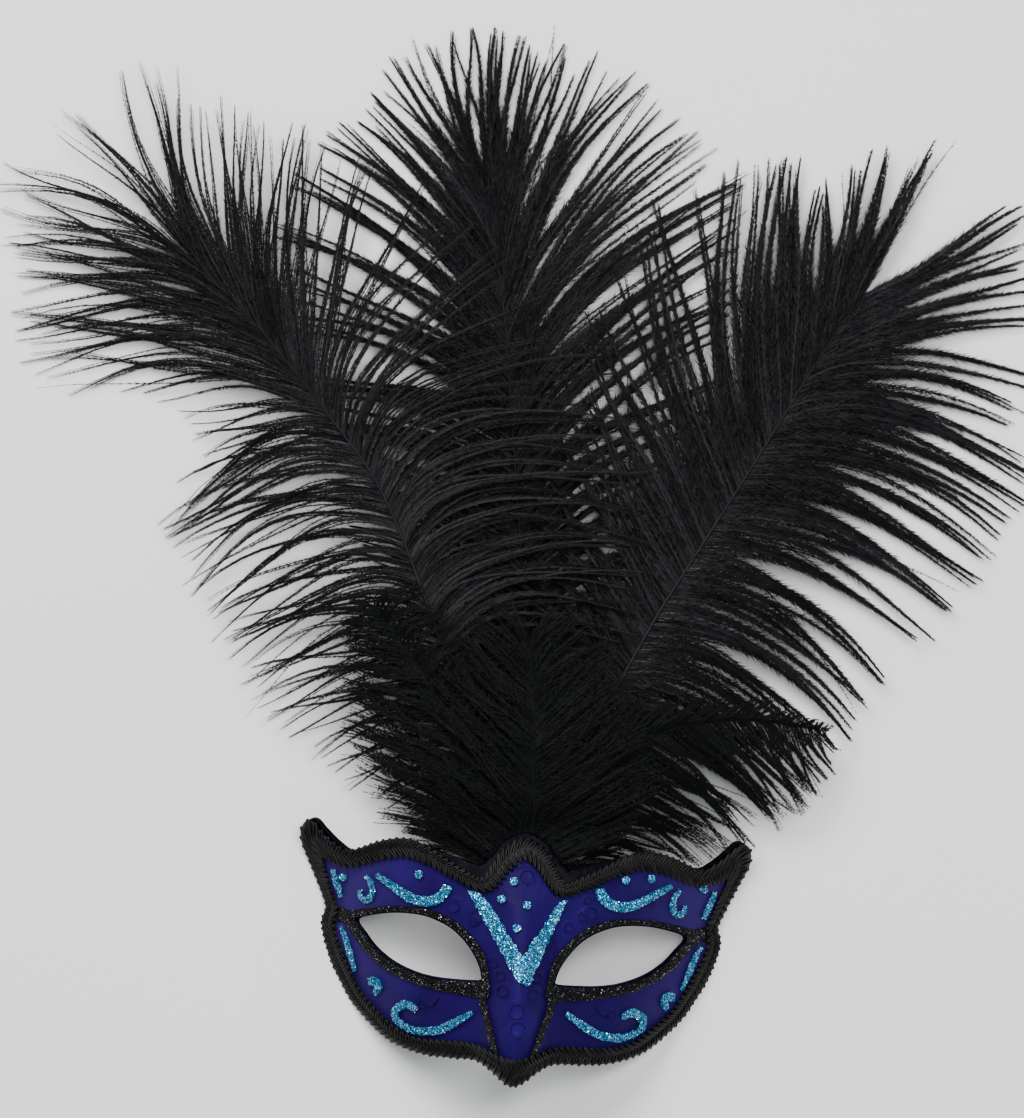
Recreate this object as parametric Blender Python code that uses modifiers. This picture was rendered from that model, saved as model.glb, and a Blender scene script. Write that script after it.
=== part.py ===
"""A masquerade half mask lying face up, with three ostrich plumes and their tufts at its forehead.

Metres, +Z up. X runs across the mask and +Y up its forehead to the plumes. The eye line is
y = 0 while the pieces are modelled. Last of all they move together, so that the origin is
under the middle of the whole piece.
"""

import math

import bmesh
import bpy
import numpy as np

# Mask sizes
MASK_WIDTH = 0.1764          # from horn tip to horn tip
MASK_HEIGHT = 0.1000         # from the tip under the nose to the forehead's peak
MASK_DEPTH = 0.0470          # from the table to the brow
WALL = 0.0015
NOSE_RISE = 0.0190           # nose ridge above the cheeks
NOSE_HALF_WIDTH = 0.0120
SOCKET_DENT = 0.0030         # how deep the eye sockets lie
SOCKET_RADIUS = 0.0220
EYE_ACROSS = 0.0390          # from the middle to the middle of an eye hole
EYE_UP = -0.0100
SIDE_CURVE = 2.4             # exponent of the curve from the middle to the temples

# Shell grid, as shares of the mask's sizes
NOSE_GRID = 1.7              # half width of the fine grid, in NOSE_HALF_WIDTH
SIDE_GRID = 1.04
LOW_GRID = -0.66
HIGH_GRID = 0.42
NOSE_LINES = 9
CHEEK_LINES = 11
LEVEL_LINES = 19

# Trim sizes
BRAID_WIDTH = 0.0080
BRAID_THICK = 0.0022
GLITTER_THICK = 0.0008
EYE_LIP = 0.0006             # bare shell between an eye hole and its border
DOT_RADIUS = 0.0016
GAP = 0.0005                 # between a trim and the shell under it

# Feather sizes
PLUME_LENGTH = 0.2900        # unit of the plume tables, the left shaft's length
PLUME_ROOT = 0.0380          # where the shafts leave the mask, above the eye line
STRIP_THICK = 0.0020
QUILL_WIDTH = 0.0026
QUILL_TIP_WIDTH = 0.0012
QUILL_START = 0.0100         # hidden end of the quills, above the eye line
TUFT_LENGTH = 0.0800         # unit of the tuft tables
TUFT_ROOT = 0.0280
TUFT_THICK = 0.0016
TUFT_LOCKS = 4
PLUME_LOCKS = 13             # on each side of a shaft
LOCK_FILL = 0.88             # a lock's share of its stretch of the shaft
LOCK_STEPS = 4
LAST_LOCK = 0.995            # where the last lock ends, as a share of the shaft
BARB_ANGLE = math.radians(50)
BARB_BEND = 0.42             # how far a barb's bend lies along it
LOCK_TAPER = 0.85            # how much narrower a lock is at its tip
TAPER_CURVE = 2.5
QUILL_SPACING = 0.0045
STEM_SPACING = 0.0092
SLOT_CLEARANCE = 0.00035
PATCH_WIDTH = 0.0260
PATCH_LENGTH = 0.0140
PATCH_WALL = 0.0010
PATCH_GAP = 0.0005
PATCH_SET_IN = 0.0010        # how far the quills' ends pass the pad
PATCH_GRID = (7, 5)

HALF_WIDTH = MASK_WIDTH / 2

# Crown: up is a share of MASK_HEIGHT, height of MASK_DEPTH, and reach of HALF_WIDTH, where
# the surface would meet the table.
CROWN = (
    # up, height, reach
    (-0.68, 0.68, 0.50),
    (-0.45, 0.80, 0.632),
    (-0.34, 0.87, 0.706),
    (-0.25, 0.93, 0.764),
    (-0.17, 0.96, 0.809),
    (-0.07, 0.99, 0.845),
    (0.03, 1.00, 0.853),
    (0.10, 1.00, 0.880),
    (0.20, 0.98, 0.932),
    (0.36, 0.88, 1.060),
    (0.46, 0.80, 1.140),
)

# Nose: rise is a share of NOSE_RISE and half_width of NOSE_HALF_WIDTH.
NOSE = (
    # up, rise, half_width
    (-0.68, 0.78, 0.80),
    (-0.55, 0.96, 0.92),
    (-0.44, 1.00, 1.00),
    (-0.30, 0.80, 1.00),
    (-0.15, 0.55, 0.86),
    (0.00, 0.34, 0.80),
    (0.15, 0.12, 0.76),
    (0.30, 0.00, 0.72),
    (0.46, 0.00, 0.72),
)

# Braid, from the forehead's peak round the right horn to the tip under the nose: the outer
# and the inner edge. bare is how far the shell shows beyond the braid, as a share of
# BRAID_WIDTH, and where it is negative the braid hangs over the shell's rim.
BRAID = (
    # outer across, outer up, inner across, inner up, bare
    (0.000, 0.348, 0.000, 0.250, 0.30),
    (0.090, 0.310, 0.061, 0.210, 0.30),
    (0.136, 0.250, 0.099, 0.164, 0.36),
    (0.185, 0.184, 0.159, 0.119, 0.62),
    (0.240, 0.196, 0.266, 0.146, 0.55),
    (0.351, 0.250, 0.376, 0.194, 0.22),
    (0.442, 0.296, 0.456, 0.222, -0.04),
    (0.533, 0.318, 0.528, 0.236, -0.12),
    (0.640, 0.302, 0.622, 0.222, -0.14),
    (0.773, 0.258, 0.762, 0.184, -0.14),
    (0.840, 0.282, 0.826, 0.192, -0.14),
    (0.906, 0.331, 0.864, 0.206, -0.14),
    (0.946, 0.366, 0.880, 0.214, -0.14),
    (0.982, 0.364, 0.886, 0.214, -0.14),
    (1.000, 0.322, 0.886, 0.206, -0.14),
    (0.990, 0.270, 0.880, 0.190, -0.14),
    (0.956, 0.212, 0.866, 0.158, -0.14),
    (0.889, 0.083, 0.827, 0.066, -0.14),
    (0.868, 0.028, 0.810, 0.024, -0.14),
    (0.882, -0.018, 0.818, -0.020, -0.14),
    (0.875, -0.070, 0.810, -0.076, -0.14),
    (0.837, -0.171, 0.766, -0.162, -0.14),
    (0.786, -0.256, 0.722, -0.236, -0.14),
    (0.722, -0.343, 0.669, -0.308, -0.14),
    (0.600, -0.450, 0.554, -0.402, -0.14),
    (0.505, -0.496, 0.466, -0.446, -0.14),
    (0.402, -0.522, 0.378, -0.457, -0.14),
    (0.281, -0.530, 0.270, -0.456, -0.14),
    (0.170, -0.534, 0.178, -0.462, -0.14),
    (0.098, -0.572, 0.102, -0.488, -0.14),
    (0.041, -0.614, 0.045, -0.508, -0.14),
    (0.000, -0.629, 0.000, -0.514, -0.14),
)

# Eye border: the eye hole's edge and the border's outer edge, from the outer corner over the
# brow to the inner corner and back under the eye.
EYE_BORDER = (
    # hole across, hole up, outer across, outer up
    (0.723, -0.011, 0.796, 0.004),
    (0.633, 0.013, 0.640, 0.040),
    (0.533, 0.023, 0.538, 0.049),
    (0.429, 0.017, 0.424, 0.046),
    (0.342, -0.009, 0.328, 0.022),
    (0.272, -0.049, 0.248, -0.022),
    (0.213, -0.108, 0.177, -0.086),
    (0.179, -0.161, 0.140, -0.150),
    (0.165, -0.200, 0.127, -0.226),
    (0.172, -0.217, 0.130, -0.286),
    (0.260, -0.221, 0.250, -0.280),
    (0.365, -0.217, 0.372, -0.266),
    (0.457, -0.202, 0.478, -0.242),
    (0.556, -0.167, 0.590, -0.200),
    (0.633, -0.119, 0.674, -0.142),
    (0.688, -0.063, 0.742, -0.071),
)

# The V of glitter between the brows: outer and inner edge, from the left arm's end to the
# point and up the right arm, which is the narrower one.
GLITTER_V = (
    # outer across, outer up, inner across, inner up
    (-0.247, 0.126, -0.196, 0.120),
    (-0.211, 0.068, -0.150, 0.088),
    (-0.154, -0.010, -0.095, 0.024),
    (-0.073, -0.125, -0.034, -0.056),
    (-0.011, -0.210, 0.005, -0.105),
    (0.029, -0.236, 0.010, -0.111),
    (0.059, -0.220, 0.015, -0.105),
    (0.100, -0.118, 0.050, -0.054),
    (0.142, -0.018, 0.100, 0.016),
    (0.181, 0.072, 0.146, 0.086),
    (0.196, 0.106, 0.176, 0.108),
)

# Raised lines of glitter on the left half, with across turned positive: the middle of the
# line, and its width as a share of BRAID_WIDTH. The right half mirrors them, moved a little
# as RIGHT_SHIFT says, since the maker drew them by hand.
GLITTER_LINES = {
    "glitter_brow": (
        # across, up, width
        (0.650, 0.166, 0.22),
        (0.590, 0.134, 0.36),
        (0.516, 0.094, 0.44),
        (0.449, 0.074, 0.48),
        (0.386, 0.082, 0.50),
        (0.344, 0.114, 0.50),
        (0.336, 0.140, 0.40),
    ),
    "glitter_curl": (
        (0.695, 0.160, 0.22),
        (0.673, 0.134, 0.26),
        (0.664, 0.094, 0.30),
        (0.684, 0.064, 0.30),
        (0.713, 0.074, 0.26),
        (0.719, 0.100, 0.20),
    ),
    "glitter_cheek": (
        (0.440, -0.350, 0.30),
        (0.478, -0.330, 0.40),
        (0.515, -0.340, 0.42),
        (0.536, -0.366, 0.38),
        (0.522, -0.396, 0.34),
        (0.478, -0.420, 0.34),
        (0.418, -0.431, 0.38),
        (0.335, -0.420, 0.40),
        (0.264, -0.386, 0.38),
        (0.196, -0.346, 0.24),
    ),
    "glitter_comma": (
        (0.632, -0.298, 0.26),
        (0.613, -0.275, 0.38),
        (0.628, -0.250, 0.46),
        (0.658, -0.252, 0.36),
    ),
    "glitter_side": (
        (0.796, -0.044, 0.16),
        (0.771, -0.086, 0.28),
        (0.747, -0.146, 0.30),
        (0.721, -0.212, 0.18),
    ),
    "glitter_temple": (
        (0.840, 0.176, 0.22),
        (0.832, 0.145, 0.30),
        (0.814, 0.105, 0.30),
        (0.800, 0.070, 0.20),
    ),
}
RIGHT_SHIFT = {
    # across, up
    "glitter_brow": (0.0, 0.020),
    "glitter_curl": (-0.006, 0.010),
    "glitter_cheek": (0.024, 0.016),
    "glitter_comma": (0.032, 0.004),
    "glitter_side": (0.0, -0.004),
    "glitter_temple": (0.0, -0.006),
}

# Black glitter down each side of the nose.
NOSE_LINE = (
    # across, up, width
    (0.150, -0.306, 0.40),
    (0.135, -0.350, 0.36),
    (0.118, -0.400, 0.34),
    (0.098, -0.460, 0.30),
)

# Single dots of glitter.
DOTS = (
    # across, up
    (-0.045, 0.172),
    (-0.094, 0.100),
    (0.020, 0.082),
    (-0.020, -0.008),
    (-0.462, 0.176),
    (0.447, 0.198),
    (0.560, 0.208),
)

# Curls cast in the shell: where each winds, which way it opens, in turns, and its radius as
# a share of BRAID_WIDTH.
RELIEF = (
    # across, up, opens, radius
    (-0.300, 0.062, 0.10, 0.36),
    (0.300, 0.062, 0.40, 0.36),
    (0.010, 0.190, 0.75, 0.36),
    (0.206, 0.004, 0.60, 0.24),
    (-0.210, 0.004, 0.90, 0.24),
    (0.000, -0.330, 0.25, 0.44),
    (0.420, -0.330, 0.00, 0.24),
    (-0.420, -0.330, 0.50, 0.24),
)
RELIEF_RISE = 0.0005
RELIEF_SINK = 0.0006
RELIEF_WIDTH = 0.0008

# Plumes: shaft is the shaft's middle, and left and right list where the barbs' tips lie for
# shares of the way up the shaft. Lengths are shares of PLUME_LENGTH, from PLUME_ROOT.
PLUMES = {
    "plume_left": {
        "root": -1,
        "layer": 2,
        "shaft": (
            # across, up
            (-0.022, 0.02),
            (-0.06, 0.10),
            (-0.12, 0.22),
            (-0.18, 0.36),
            (-0.23, 0.455),
            (-0.30, 0.54),
            (-0.395, 0.647),
            (-0.49, 0.735),
            (-0.57, 0.82),
        ),
        "left": (
            # way up the shaft, tip across, tip up
            (0.09, -0.155, 0.000),
            (0.15, -0.25, 0.07),
            (0.22, -0.33, 0.11),
            (0.32, -0.395, 0.20),
            (0.43, -0.43, 0.265),
            (0.52, -0.51, 0.35),
            (0.59, -0.485, 0.41),
            (0.64, -0.41, 0.49),
            (0.67, -0.42, 0.545),
            (0.71, -0.62, 0.58),
            (0.77, -0.68, 0.65),
            (0.84, -0.70, 0.71),
            (0.91, -0.71, 0.775),
            (1.00, -0.70, 0.84),
        ),
        "right": (
            (0.09, 0.05, 0.06),
            (0.15, 0.065, 0.10),
            (0.21, 0.09, 0.165),
            (0.28, 0.125, 0.31),
            (0.38, 0.125, 0.39),
            (0.47, 0.11, 0.52),
            (0.52, 0.075, 0.60),
            (0.57, -0.03, 0.74),
            (0.61, -0.12, 0.80),
            (0.66, -0.225, 0.86),
            (0.71, -0.33, 0.895),
            (0.81, -0.41, 0.87),
            (0.88, -0.46, 0.90),
            (0.95, -0.53, 0.93),
            (1.00, -0.60, 0.93),
        ),
    },
    "plume_center": {
        "root": 0,
        "layer": 0,
        "shaft": (
            (0.0, 0.02),
            (-0.008, 0.17),
            (-0.027, 0.355),
            (-0.05, 0.54),
            (-0.073, 0.71),
            (-0.105, 0.872),
            (-0.131, 0.983),
        ),
        "left": (
            (0.12, -0.10, 0.13),
            (0.30, -0.24, 0.36),
            (0.45, -0.31, 0.50),
            (0.56, -0.34, 0.605),
            (0.67, -0.37, 0.77),
            (0.78, -0.36, 0.865),
            (0.87, -0.29, 0.935),
            (0.93, -0.26, 0.985),
            (1.00, -0.19, 1.045),
        ),
        "right": (
            (0.12, 0.10, 0.13),
            (0.30, 0.19, 0.34),
            (0.45, 0.20, 0.50),
            (0.55, 0.19, 0.62),
            (0.67, 0.20, 0.815),
            (0.74, 0.17, 0.88),
            (0.82, 0.10, 0.965),
            (0.92, 0.0, 1.01),
            (1.00, -0.11, 1.045),
        ),
    },
    "plume_right": {
        "root": 1,
        "layer": 1,
        "shaft": (
            (0.022, 0.02),
            (0.06, 0.085),
            (0.114, 0.203),
            (0.162, 0.30),
            (0.228, 0.417),
            (0.297, 0.54),
            (0.347, 0.633),
            (0.407, 0.731),
            (0.483, 0.834),
        ),
        "left": (
            (0.12, -0.04, 0.13),
            (0.25, -0.06, 0.32),
            (0.39, 0.03, 0.54),
            (0.48, 0.045, 0.68),
            (0.53, 0.08, 0.74),
            (0.58, 0.14, 0.845),
            (0.63, 0.18, 0.895),
            (0.70, 0.21, 0.89),
            (0.80, 0.275, 0.90),
            (0.84, 0.31, 0.905),
            (0.88, 0.355, 0.85),
            (0.92, 0.38, 0.91),
            (1.00, 0.45, 0.92),
        ),
        "right": (
            (0.09, 0.20, 0.00),
            (0.15, 0.255, 0.03),
            (0.20, 0.315, 0.045),
            (0.31, 0.405, 0.10),
            (0.41, 0.435, 0.19),
            (0.52, 0.54, 0.325),
            (0.64, 0.605, 0.41),
            (0.70, 0.635, 0.55),
            (0.77, 0.655, 0.66),
            (0.87, 0.645, 0.79),
            (0.93, 0.62, 0.83),
            (1.00, 0.55, 0.895),
        ),
    },
}

# Tufts of soft short feathers over the plumes' roots, as shares of TUFT_LENGTH, from
# TUFT_ROOT. Each lies over one plume.
TUFTS = {
    "tuft_left": {
        "root": -1,
        "over": "plume_left",
        "layer": 3,
        "shaft": ((-0.12, 0.10), (-0.26, 0.42), (-0.50, 0.78), (-0.80, 1.16)),
        "left": (
            (0.05, -0.30, 0.02),
            (0.20, -0.56, 0.10),
            (0.35, -0.72, 0.32),
            (0.70, -0.90, 0.74),
            (1.00, -0.96, 1.18),
        ),
        "right": (
            (0.05, -0.04, 0.34),
            (0.35, -0.08, 0.58),
            (0.70, -0.30, 0.98),
            (1.00, -0.62, 1.28),
        ),
    },
    "tuft_center": {
        "root": 0,
        "over": "plume_center",
        "layer": 4,
        "shaft": ((0.0, 0.10), (0.02, 0.42), (0.0, 0.74), (-0.04, 1.04)),
        "left": (
            (0.05, -0.16, 0.14),
            (0.35, -0.34, 0.54),
            (0.70, -0.30, 0.86),
            (1.00, -0.18, 1.12),
        ),
        "right": (
            (0.05, 0.16, 0.14),
            (0.35, 0.32, 0.52),
            (0.70, 0.26, 0.84),
            (1.00, 0.10, 1.12),
        ),
    },
    "tuft_right": {
        "root": 1,
        "over": "plume_right",
        "layer": 3,
        "shaft": ((0.12, 0.10), (0.30, 0.40), (0.62, 0.62), (1.06, 0.70), (1.52, 0.64)),
        "left": (
            (0.05, 0.04, 0.34),
            (0.35, 0.30, 0.76),
            (0.70, 0.96, 0.92),
            (1.00, 1.50, 0.76),
        ),
        "right": (
            (0.05, 0.30, 0.02),
            (0.15, 0.56, 0.10),
            (0.35, 0.80, 0.28),
            (0.70, 1.16, 0.46),
            (1.00, 1.56, 0.52),
        ),
    },
}

# Height of the lowest plume's middle and the step up to each next layer.
LAYERS = (
    # above the eye line, height, step
    (0.038, 0.0280, 0.0022),
    (0.044, 0.0286, 0.0028),
    (0.050, 0.0288, 0.0034),
    (0.070, 0.0262, 0.0044),
    (0.100, 0.0200, 0.0050),
    (0.150, 0.0110, 0.0055),
    (0.200, 0.0055, 0.0045),
    (0.250, 0.0025, 0.0034),
    (0.300, 0.0012, 0.0030),
    (0.345, 0.0010, 0.0030),
)
DROOP_REACH = 0.0750         # sideways from a shaft to where its outer barbs have sunk
DROOP_LEFT_OVER = 0.25       # share of the height that they keep beside the mask

PLUME_KIND = {
    "feathers": PLUMES,
    "unit": PLUME_LENGTH,
    "root": PLUME_ROOT,
    "spacing": QUILL_SPACING,
    "locks": PLUME_LOCKS,
    "first_lock": 0.09,
    "thick": STRIP_THICK,
    "material": "plume",
}
TUFT_KIND = {
    "feathers": TUFTS,
    "unit": TUFT_LENGTH,
    "root": TUFT_ROOT,
    "spacing": STEM_SPACING,
    "locks": TUFT_LOCKS,
    "first_lock": 0.05,
    "thick": TUFT_THICK,
    "material": "tuft",
}


def clear_scene():
    for obj in list(bpy.data.objects):
        bpy.data.objects.remove(obj, do_unlink=True)


def collection(name):
    made = bpy.data.collections.new(name)
    bpy.context.scene.collection.children.link(made)
    return made


def paint(name, colour, roughness, metallic=0.0):
    material = bpy.data.materials.new(name)
    material.use_nodes = True
    shader = material.node_tree.nodes["Principled BSDF"]
    shader.inputs["Base Color"].default_value = (*colour, 1.0)
    shader.inputs["Roughness"].default_value = roughness
    shader.inputs["Metallic"].default_value = metallic
    return material


def spline(points, steps, closed=False):
    """Points along a Catmull-Rom curve through the given ones, steps of them to each span."""
    points = np.asarray(points, float)
    count = len(points)
    spans = count if closed else count - 1
    found = []
    for span in range(spans):
        near = [span - 1, span, span + 1, span + 2]
        if closed:
            a, b, c, d = (points[k % count] for k in near)
        else:
            a, b, c, d = (points[min(max(k, 0), count - 1)] for k in near)
        for step in range(steps):
            t = step / steps
            found.append(
                0.5 * (2 * b + (c - a) * t + (2 * a - 5 * b + 4 * c - d) * t**2
                       + (3 * b - a - 3 * c + d) * t**3)
            )
    if not closed:
        found.append(points[-1])
    return np.array(found)


def smooth_table(rows, where):
    """The other columns of a table, read smoothly at values of its first column."""
    fine = spline(rows, 8)
    return [np.interp(where, fine[:, 0], fine[:, column]) for column in range(1, fine.shape[1])]


def surface(x, y):
    """Height of the shell's outer face above the table."""
    height, reach = smooth_table(CROWN, y / MASK_HEIGHT)
    rise, half_width = smooth_table(NOSE, y / MASK_HEIGHT)
    side = np.minimum(np.abs(x) / (reach * HALF_WIDTH), 1.3)
    crown = MASK_DEPTH * height * (1 - side**SIDE_CURVE)
    nose = NOSE_RISE * rise * np.exp(-((x / (half_width * NOSE_HALF_WIDTH)) ** 2))
    away = (np.abs(x) - EYE_ACROSS) ** 2 + (y - EYE_UP) ** 2
    return crown + nose - SOCKET_DENT * np.exp(-away / SOCKET_RADIUS**2)


def surface_normal(x, y, step=0.0004):
    slope_x = (surface(x + step, y) - surface(x - step, y)) / (2 * step)
    slope_y = (surface(x, y + step) - surface(x, y - step)) / (2 * step)
    normal = np.stack([-slope_x, -slope_y, np.ones_like(slope_x)], axis=-1)
    return normal / np.linalg.norm(normal, axis=-1, keepdims=True)


def feet(points, lift):
    """Where on the shell the points stand that, once lifted, are seen from above at these."""
    return points - lift * surface_normal(points[..., 0], points[..., 1])[..., :2]


def over_shell(points, lift):
    """Points of the plan, lifted square to the shell's outer face, and never into the table."""
    x, y = points[..., 0], points[..., 1]
    lifted = np.stack([x, y, surface(x, y)], axis=-1) + lift * surface_normal(x, y)
    lifted[..., 2] = np.maximum(lifted[..., 2], 0.0)
    return lifted


def plan(across, up):
    return np.stack([np.asarray(across) * HALF_WIDTH, np.asarray(up) * MASK_HEIGHT], axis=-1)


def new_object(name, mesh_data, material, home):
    obj = bpy.data.objects.new(name, mesh_data)
    home.objects.link(obj)
    if material:
        mesh_data.materials.append(material)
    return obj


def mesh_from(bm, name, face_out=True):
    if face_out:
        bmesh.ops.recalc_face_normals(bm, faces=bm.faces[:])
    made = bpy.data.meshes.new(name)
    bm.to_mesh(made)
    bm.free()
    return made


def ribbon_mesh(name, first_edge, second_edge, bottom_lift, top_lift, columns, closed):
    """A closed strip on the shell between two edges of the plan, with columns points across."""
    shares = np.linspace(0, 1, columns)[None, :, None]
    flat = first_edge[:, None, :] * (1 - shares) + second_edge[:, None, :] * shares
    bottom = over_shell(feet(flat, bottom_lift), bottom_lift)
    top = over_shell(feet(flat, top_lift), top_lift)
    top[..., 2] = np.maximum(top[..., 2], bottom[..., 2] + 0.5 * (top_lift - bottom_lift))
    section = np.concatenate([bottom, top[:, ::-1]], axis=1)
    bm = bmesh.new()
    rings = [[bm.verts.new(point) for point in row] for row in section]
    around = 2 * columns
    pairs = list(zip(rings, rings[1:]))
    if closed:
        pairs.append((rings[-1], rings[0]))
    for ring, following in pairs:
        for k in range(around):
            after = (k + 1) % around
            bm.faces.new((ring[k], ring[after], following[after], following[k]))
    if not closed:
        for ring in (rings[0], rings[-1]):
            for k in range(columns - 1):
                bm.faces.new((ring[k], ring[k + 1], ring[around - 2 - k], ring[around - 1 - k]))
    return mesh_from(bm, name)


def line_edges(rows, steps, side, shift=(0.0, 0.0)):
    """Both edges of a raised line from rows of across, up and width."""
    fine = spline(rows, steps)
    middle = plan((fine[:, 0] + shift[0]) * side, fine[:, 1] + shift[1])
    along = np.gradient(middle, axis=0)
    along /= np.linalg.norm(along, axis=1, keepdims=True)
    square = np.stack([-along[:, 1], along[:, 0]], axis=1)
    half = (fine[:, 2] * BRAID_WIDTH / 2)[:, None]
    return middle + square * half, middle - square * half


def braid_edges(steps):
    """The braid's outer and inner edge and the shell's rim, once round, as points of the plan."""
    right = np.array(BRAID)
    left = right[-2:0:-1] * np.array([-1, 1, -1, 1, 1])
    fine = spline(np.concatenate([right, left]), steps, closed=True)
    outer = plan(fine[:, 0], fine[:, 1])
    inner = plan(fine[:, 2], fine[:, 3])
    outward = outer - inner
    outward /= np.linalg.norm(outward, axis=1, keepdims=True)
    rim = feet(outer, GAP + BRAID_THICK) + outward * (fine[:, 4] * BRAID_WIDTH)[:, None]
    return outer, inner, rim


def eye_edges(side, steps):
    """An eye hole's edge and its border's two edges."""
    fine = spline(np.array(EYE_BORDER), steps, closed=True)
    hole = plan(fine[:, 0] * side, fine[:, 1])
    outer = plan(fine[:, 2] * side, fine[:, 3])
    outward = outer - hole
    outward /= np.linalg.norm(outward, axis=1, keepdims=True)
    return hole, hole + outward * EYE_LIP, outer


def prism(name, outline, home):
    """A cutter: an outline of the plan, run up and down past the whole mask."""
    bm = bmesh.new()
    deep = 2 * MASK_DEPTH
    base = bm.faces.new([bm.verts.new((x, y, -deep)) for x, y in outline])
    raised = bmesh.ops.extrude_face_region(bm, geom=[base])["geom"]
    tops = [item for item in raised if isinstance(item, bmesh.types.BMVert)]
    bmesh.ops.translate(bm, verts=tops, vec=(0, 0, 2 * deep))
    cutter = new_object(name, mesh_from(bm, name), None, home)
    cutter.display_type = "WIRE"
    return cutter


def block(name, low, high, home):
    """A cutter: a plain box."""
    bm = bmesh.new()
    bmesh.ops.create_cube(bm, size=1.0)
    bmesh.ops.scale(bm, verts=bm.verts[:], vec=[b - a for a, b in zip(low, high)])
    bmesh.ops.translate(bm, verts=bm.verts[:], vec=[(a + b) / 2 for a, b in zip(low, high)])
    cutter = new_object(name, mesh_from(bm, name), None, home)
    cutter.display_type = "WIRE"
    return cutter


def boolean(obj, cutter, operation):
    modifier = obj.modifiers.new(f"{operation.lower()}_{cutter.name}", "BOOLEAN")
    modifier.operation = operation
    modifier.object = cutter
    modifier.solver = "EXACT"


def shell_lines():
    """Grid lines across the mask, closer together over the nose, where it curves most."""
    nose = np.linspace(0, NOSE_GRID * NOSE_HALF_WIDTH, NOSE_LINES)
    cheek = np.linspace(nose[-1], SIDE_GRID * HALF_WIDTH, CHEEK_LINES)
    right = np.concatenate([nose, cheek[1:]])
    return np.concatenate([-right[:0:-1], right])


def sheet_mesh(name, xs, ys, height):
    """A grid of the plan, raised to a height function."""
    bm = bmesh.new()
    bmesh.ops.create_grid(bm, x_segments=len(xs) - 1, y_segments=len(ys) - 1, size=1.0)
    order = sorted(bm.verts, key=lambda v: (round(v.co.y, 5), round(v.co.x, 5)))
    for k, vertex in enumerate(order):
        x, y = xs[k % len(xs)], ys[k // len(xs)]
        vertex.co = (x, y, float(height(x, y)))
    return mesh_from(bm, name, face_out=False)


def relief_mesh(name, across, up, opens, radius):
    """A three-quarter ring, half sunk in the shell."""
    turn = 2 * math.pi * (opens + np.linspace(0.12, 0.88, 7))
    middle = plan(across, up)
    spoke = np.stack([np.cos(turn), np.sin(turn)], axis=1)
    size = radius * BRAID_WIDTH
    first = middle + spoke * (size - RELIEF_WIDTH / 2)
    second = middle + spoke * (size + RELIEF_WIDTH / 2)
    return ribbon_mesh(name, first, second, -RELIEF_SINK, RELIEF_RISE, 2, False)


def build_shell(pieces, cutters, material):
    ys = np.linspace(LOW_GRID * MASK_HEIGHT, HIGH_GRID * MASK_HEIGHT, LEVEL_LINES)
    sheet = sheet_mesh("mask_shell", shell_lines(), ys, surface)
    shell = new_object("mask_shell", sheet, material, pieces)
    wall = shell.modifiers.new("wall", "SOLIDIFY")
    wall.thickness = WALL
    wall.offset = -1
    _, _, rim = braid_edges(2)
    boolean(shell, prism("cut_rim", rim, cutters), "INTERSECT")
    for side, name in ((-1, "left"), (1, "right")):
        hole, _, _ = eye_edges(side, 2)
        boolean(shell, prism(f"cut_eye_{name}", hole, cutters), "DIFFERENCE")
    low = (-MASK_WIDTH, -MASK_HEIGHT, -MASK_DEPTH)
    boolean(shell, block("cut_table", low, (MASK_WIDTH, MASK_HEIGHT, 0.0), cutters), "DIFFERENCE")
    for number, row in enumerate(RELIEF, 1):
        name = f"relief_{number}"
        curl = new_object(name, relief_mesh(name, *row), None, cutters)
        boolean(shell, curl, "UNION")


def build_trims(pieces, materials):
    outer, inner, _ = braid_edges(2)
    braid = ribbon_mesh("edge_braid", outer, inner, GAP, GAP + BRAID_THICK, 3, True)
    new_object("edge_braid", braid, materials["braid"], pieces)
    raised = GAP + GLITTER_THICK
    for side, name in ((-1, "left"), (1, "right")):
        _, lip, outer = eye_edges(side, 2)
        border = ribbon_mesh(f"eye_border_{name}", lip, outer, GAP, raised, 3, True)
        new_object(f"eye_border_{name}", border, materials["black_glitter"], pieces)
        line = ribbon_mesh(f"nose_line_{name}", *line_edges(NOSE_LINE, 2, side), GAP, raised, 2, False)
        new_object(f"nose_line_{name}", line, materials["black_glitter"], pieces)
        for kind, rows in GLITTER_LINES.items():
            shift = RIGHT_SHIFT[kind] if side > 0 else (0.0, 0.0)
            edges = line_edges(rows, 2, side, shift)
            made = ribbon_mesh(f"{kind}_{name}", *edges, GAP, raised, 2, False)
            new_object(f"{kind}_{name}", made, materials["blue_glitter"], pieces)
    table = np.array(GLITTER_V)
    fine = spline(table, 2)
    first, second = plan(fine[:, 0], fine[:, 1]), plan(fine[:, 2], fine[:, 3])
    made = ribbon_mesh("glitter_v", first, second, GAP, raised, 4, False)
    new_object("glitter_v", made, materials["blue_glitter"], pieces)


def build_dots(pieces, material):
    for number, (across, up) in enumerate(DOTS, 1):
        x, y = plan(across, up)
        bm = bmesh.new()
        bmesh.ops.create_cone(bm, cap_ends=True, segments=8, radius1=DOT_RADIUS,
                              radius2=0.75 * DOT_RADIUS, depth=GLITTER_THICK)
        name = f"glitter_dot_{number}"
        dot = new_object(name, mesh_from(bm, name), material, pieces)
        normal = surface_normal(np.array(x), np.array(y))
        dot.location = over_shell(np.array([x, y]), GAP + GLITTER_THICK / 2)
        dot.rotation_mode = "QUATERNION"
        dot.rotation_quaternion = normal_turn(normal)


def normal_turn(normal):
    """The turn that takes +Z to a direction."""
    x, y, z = normal
    length = math.sqrt(2 * (1 + z))
    return (length / 2, -y / length, x / length, 0.0)


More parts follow.
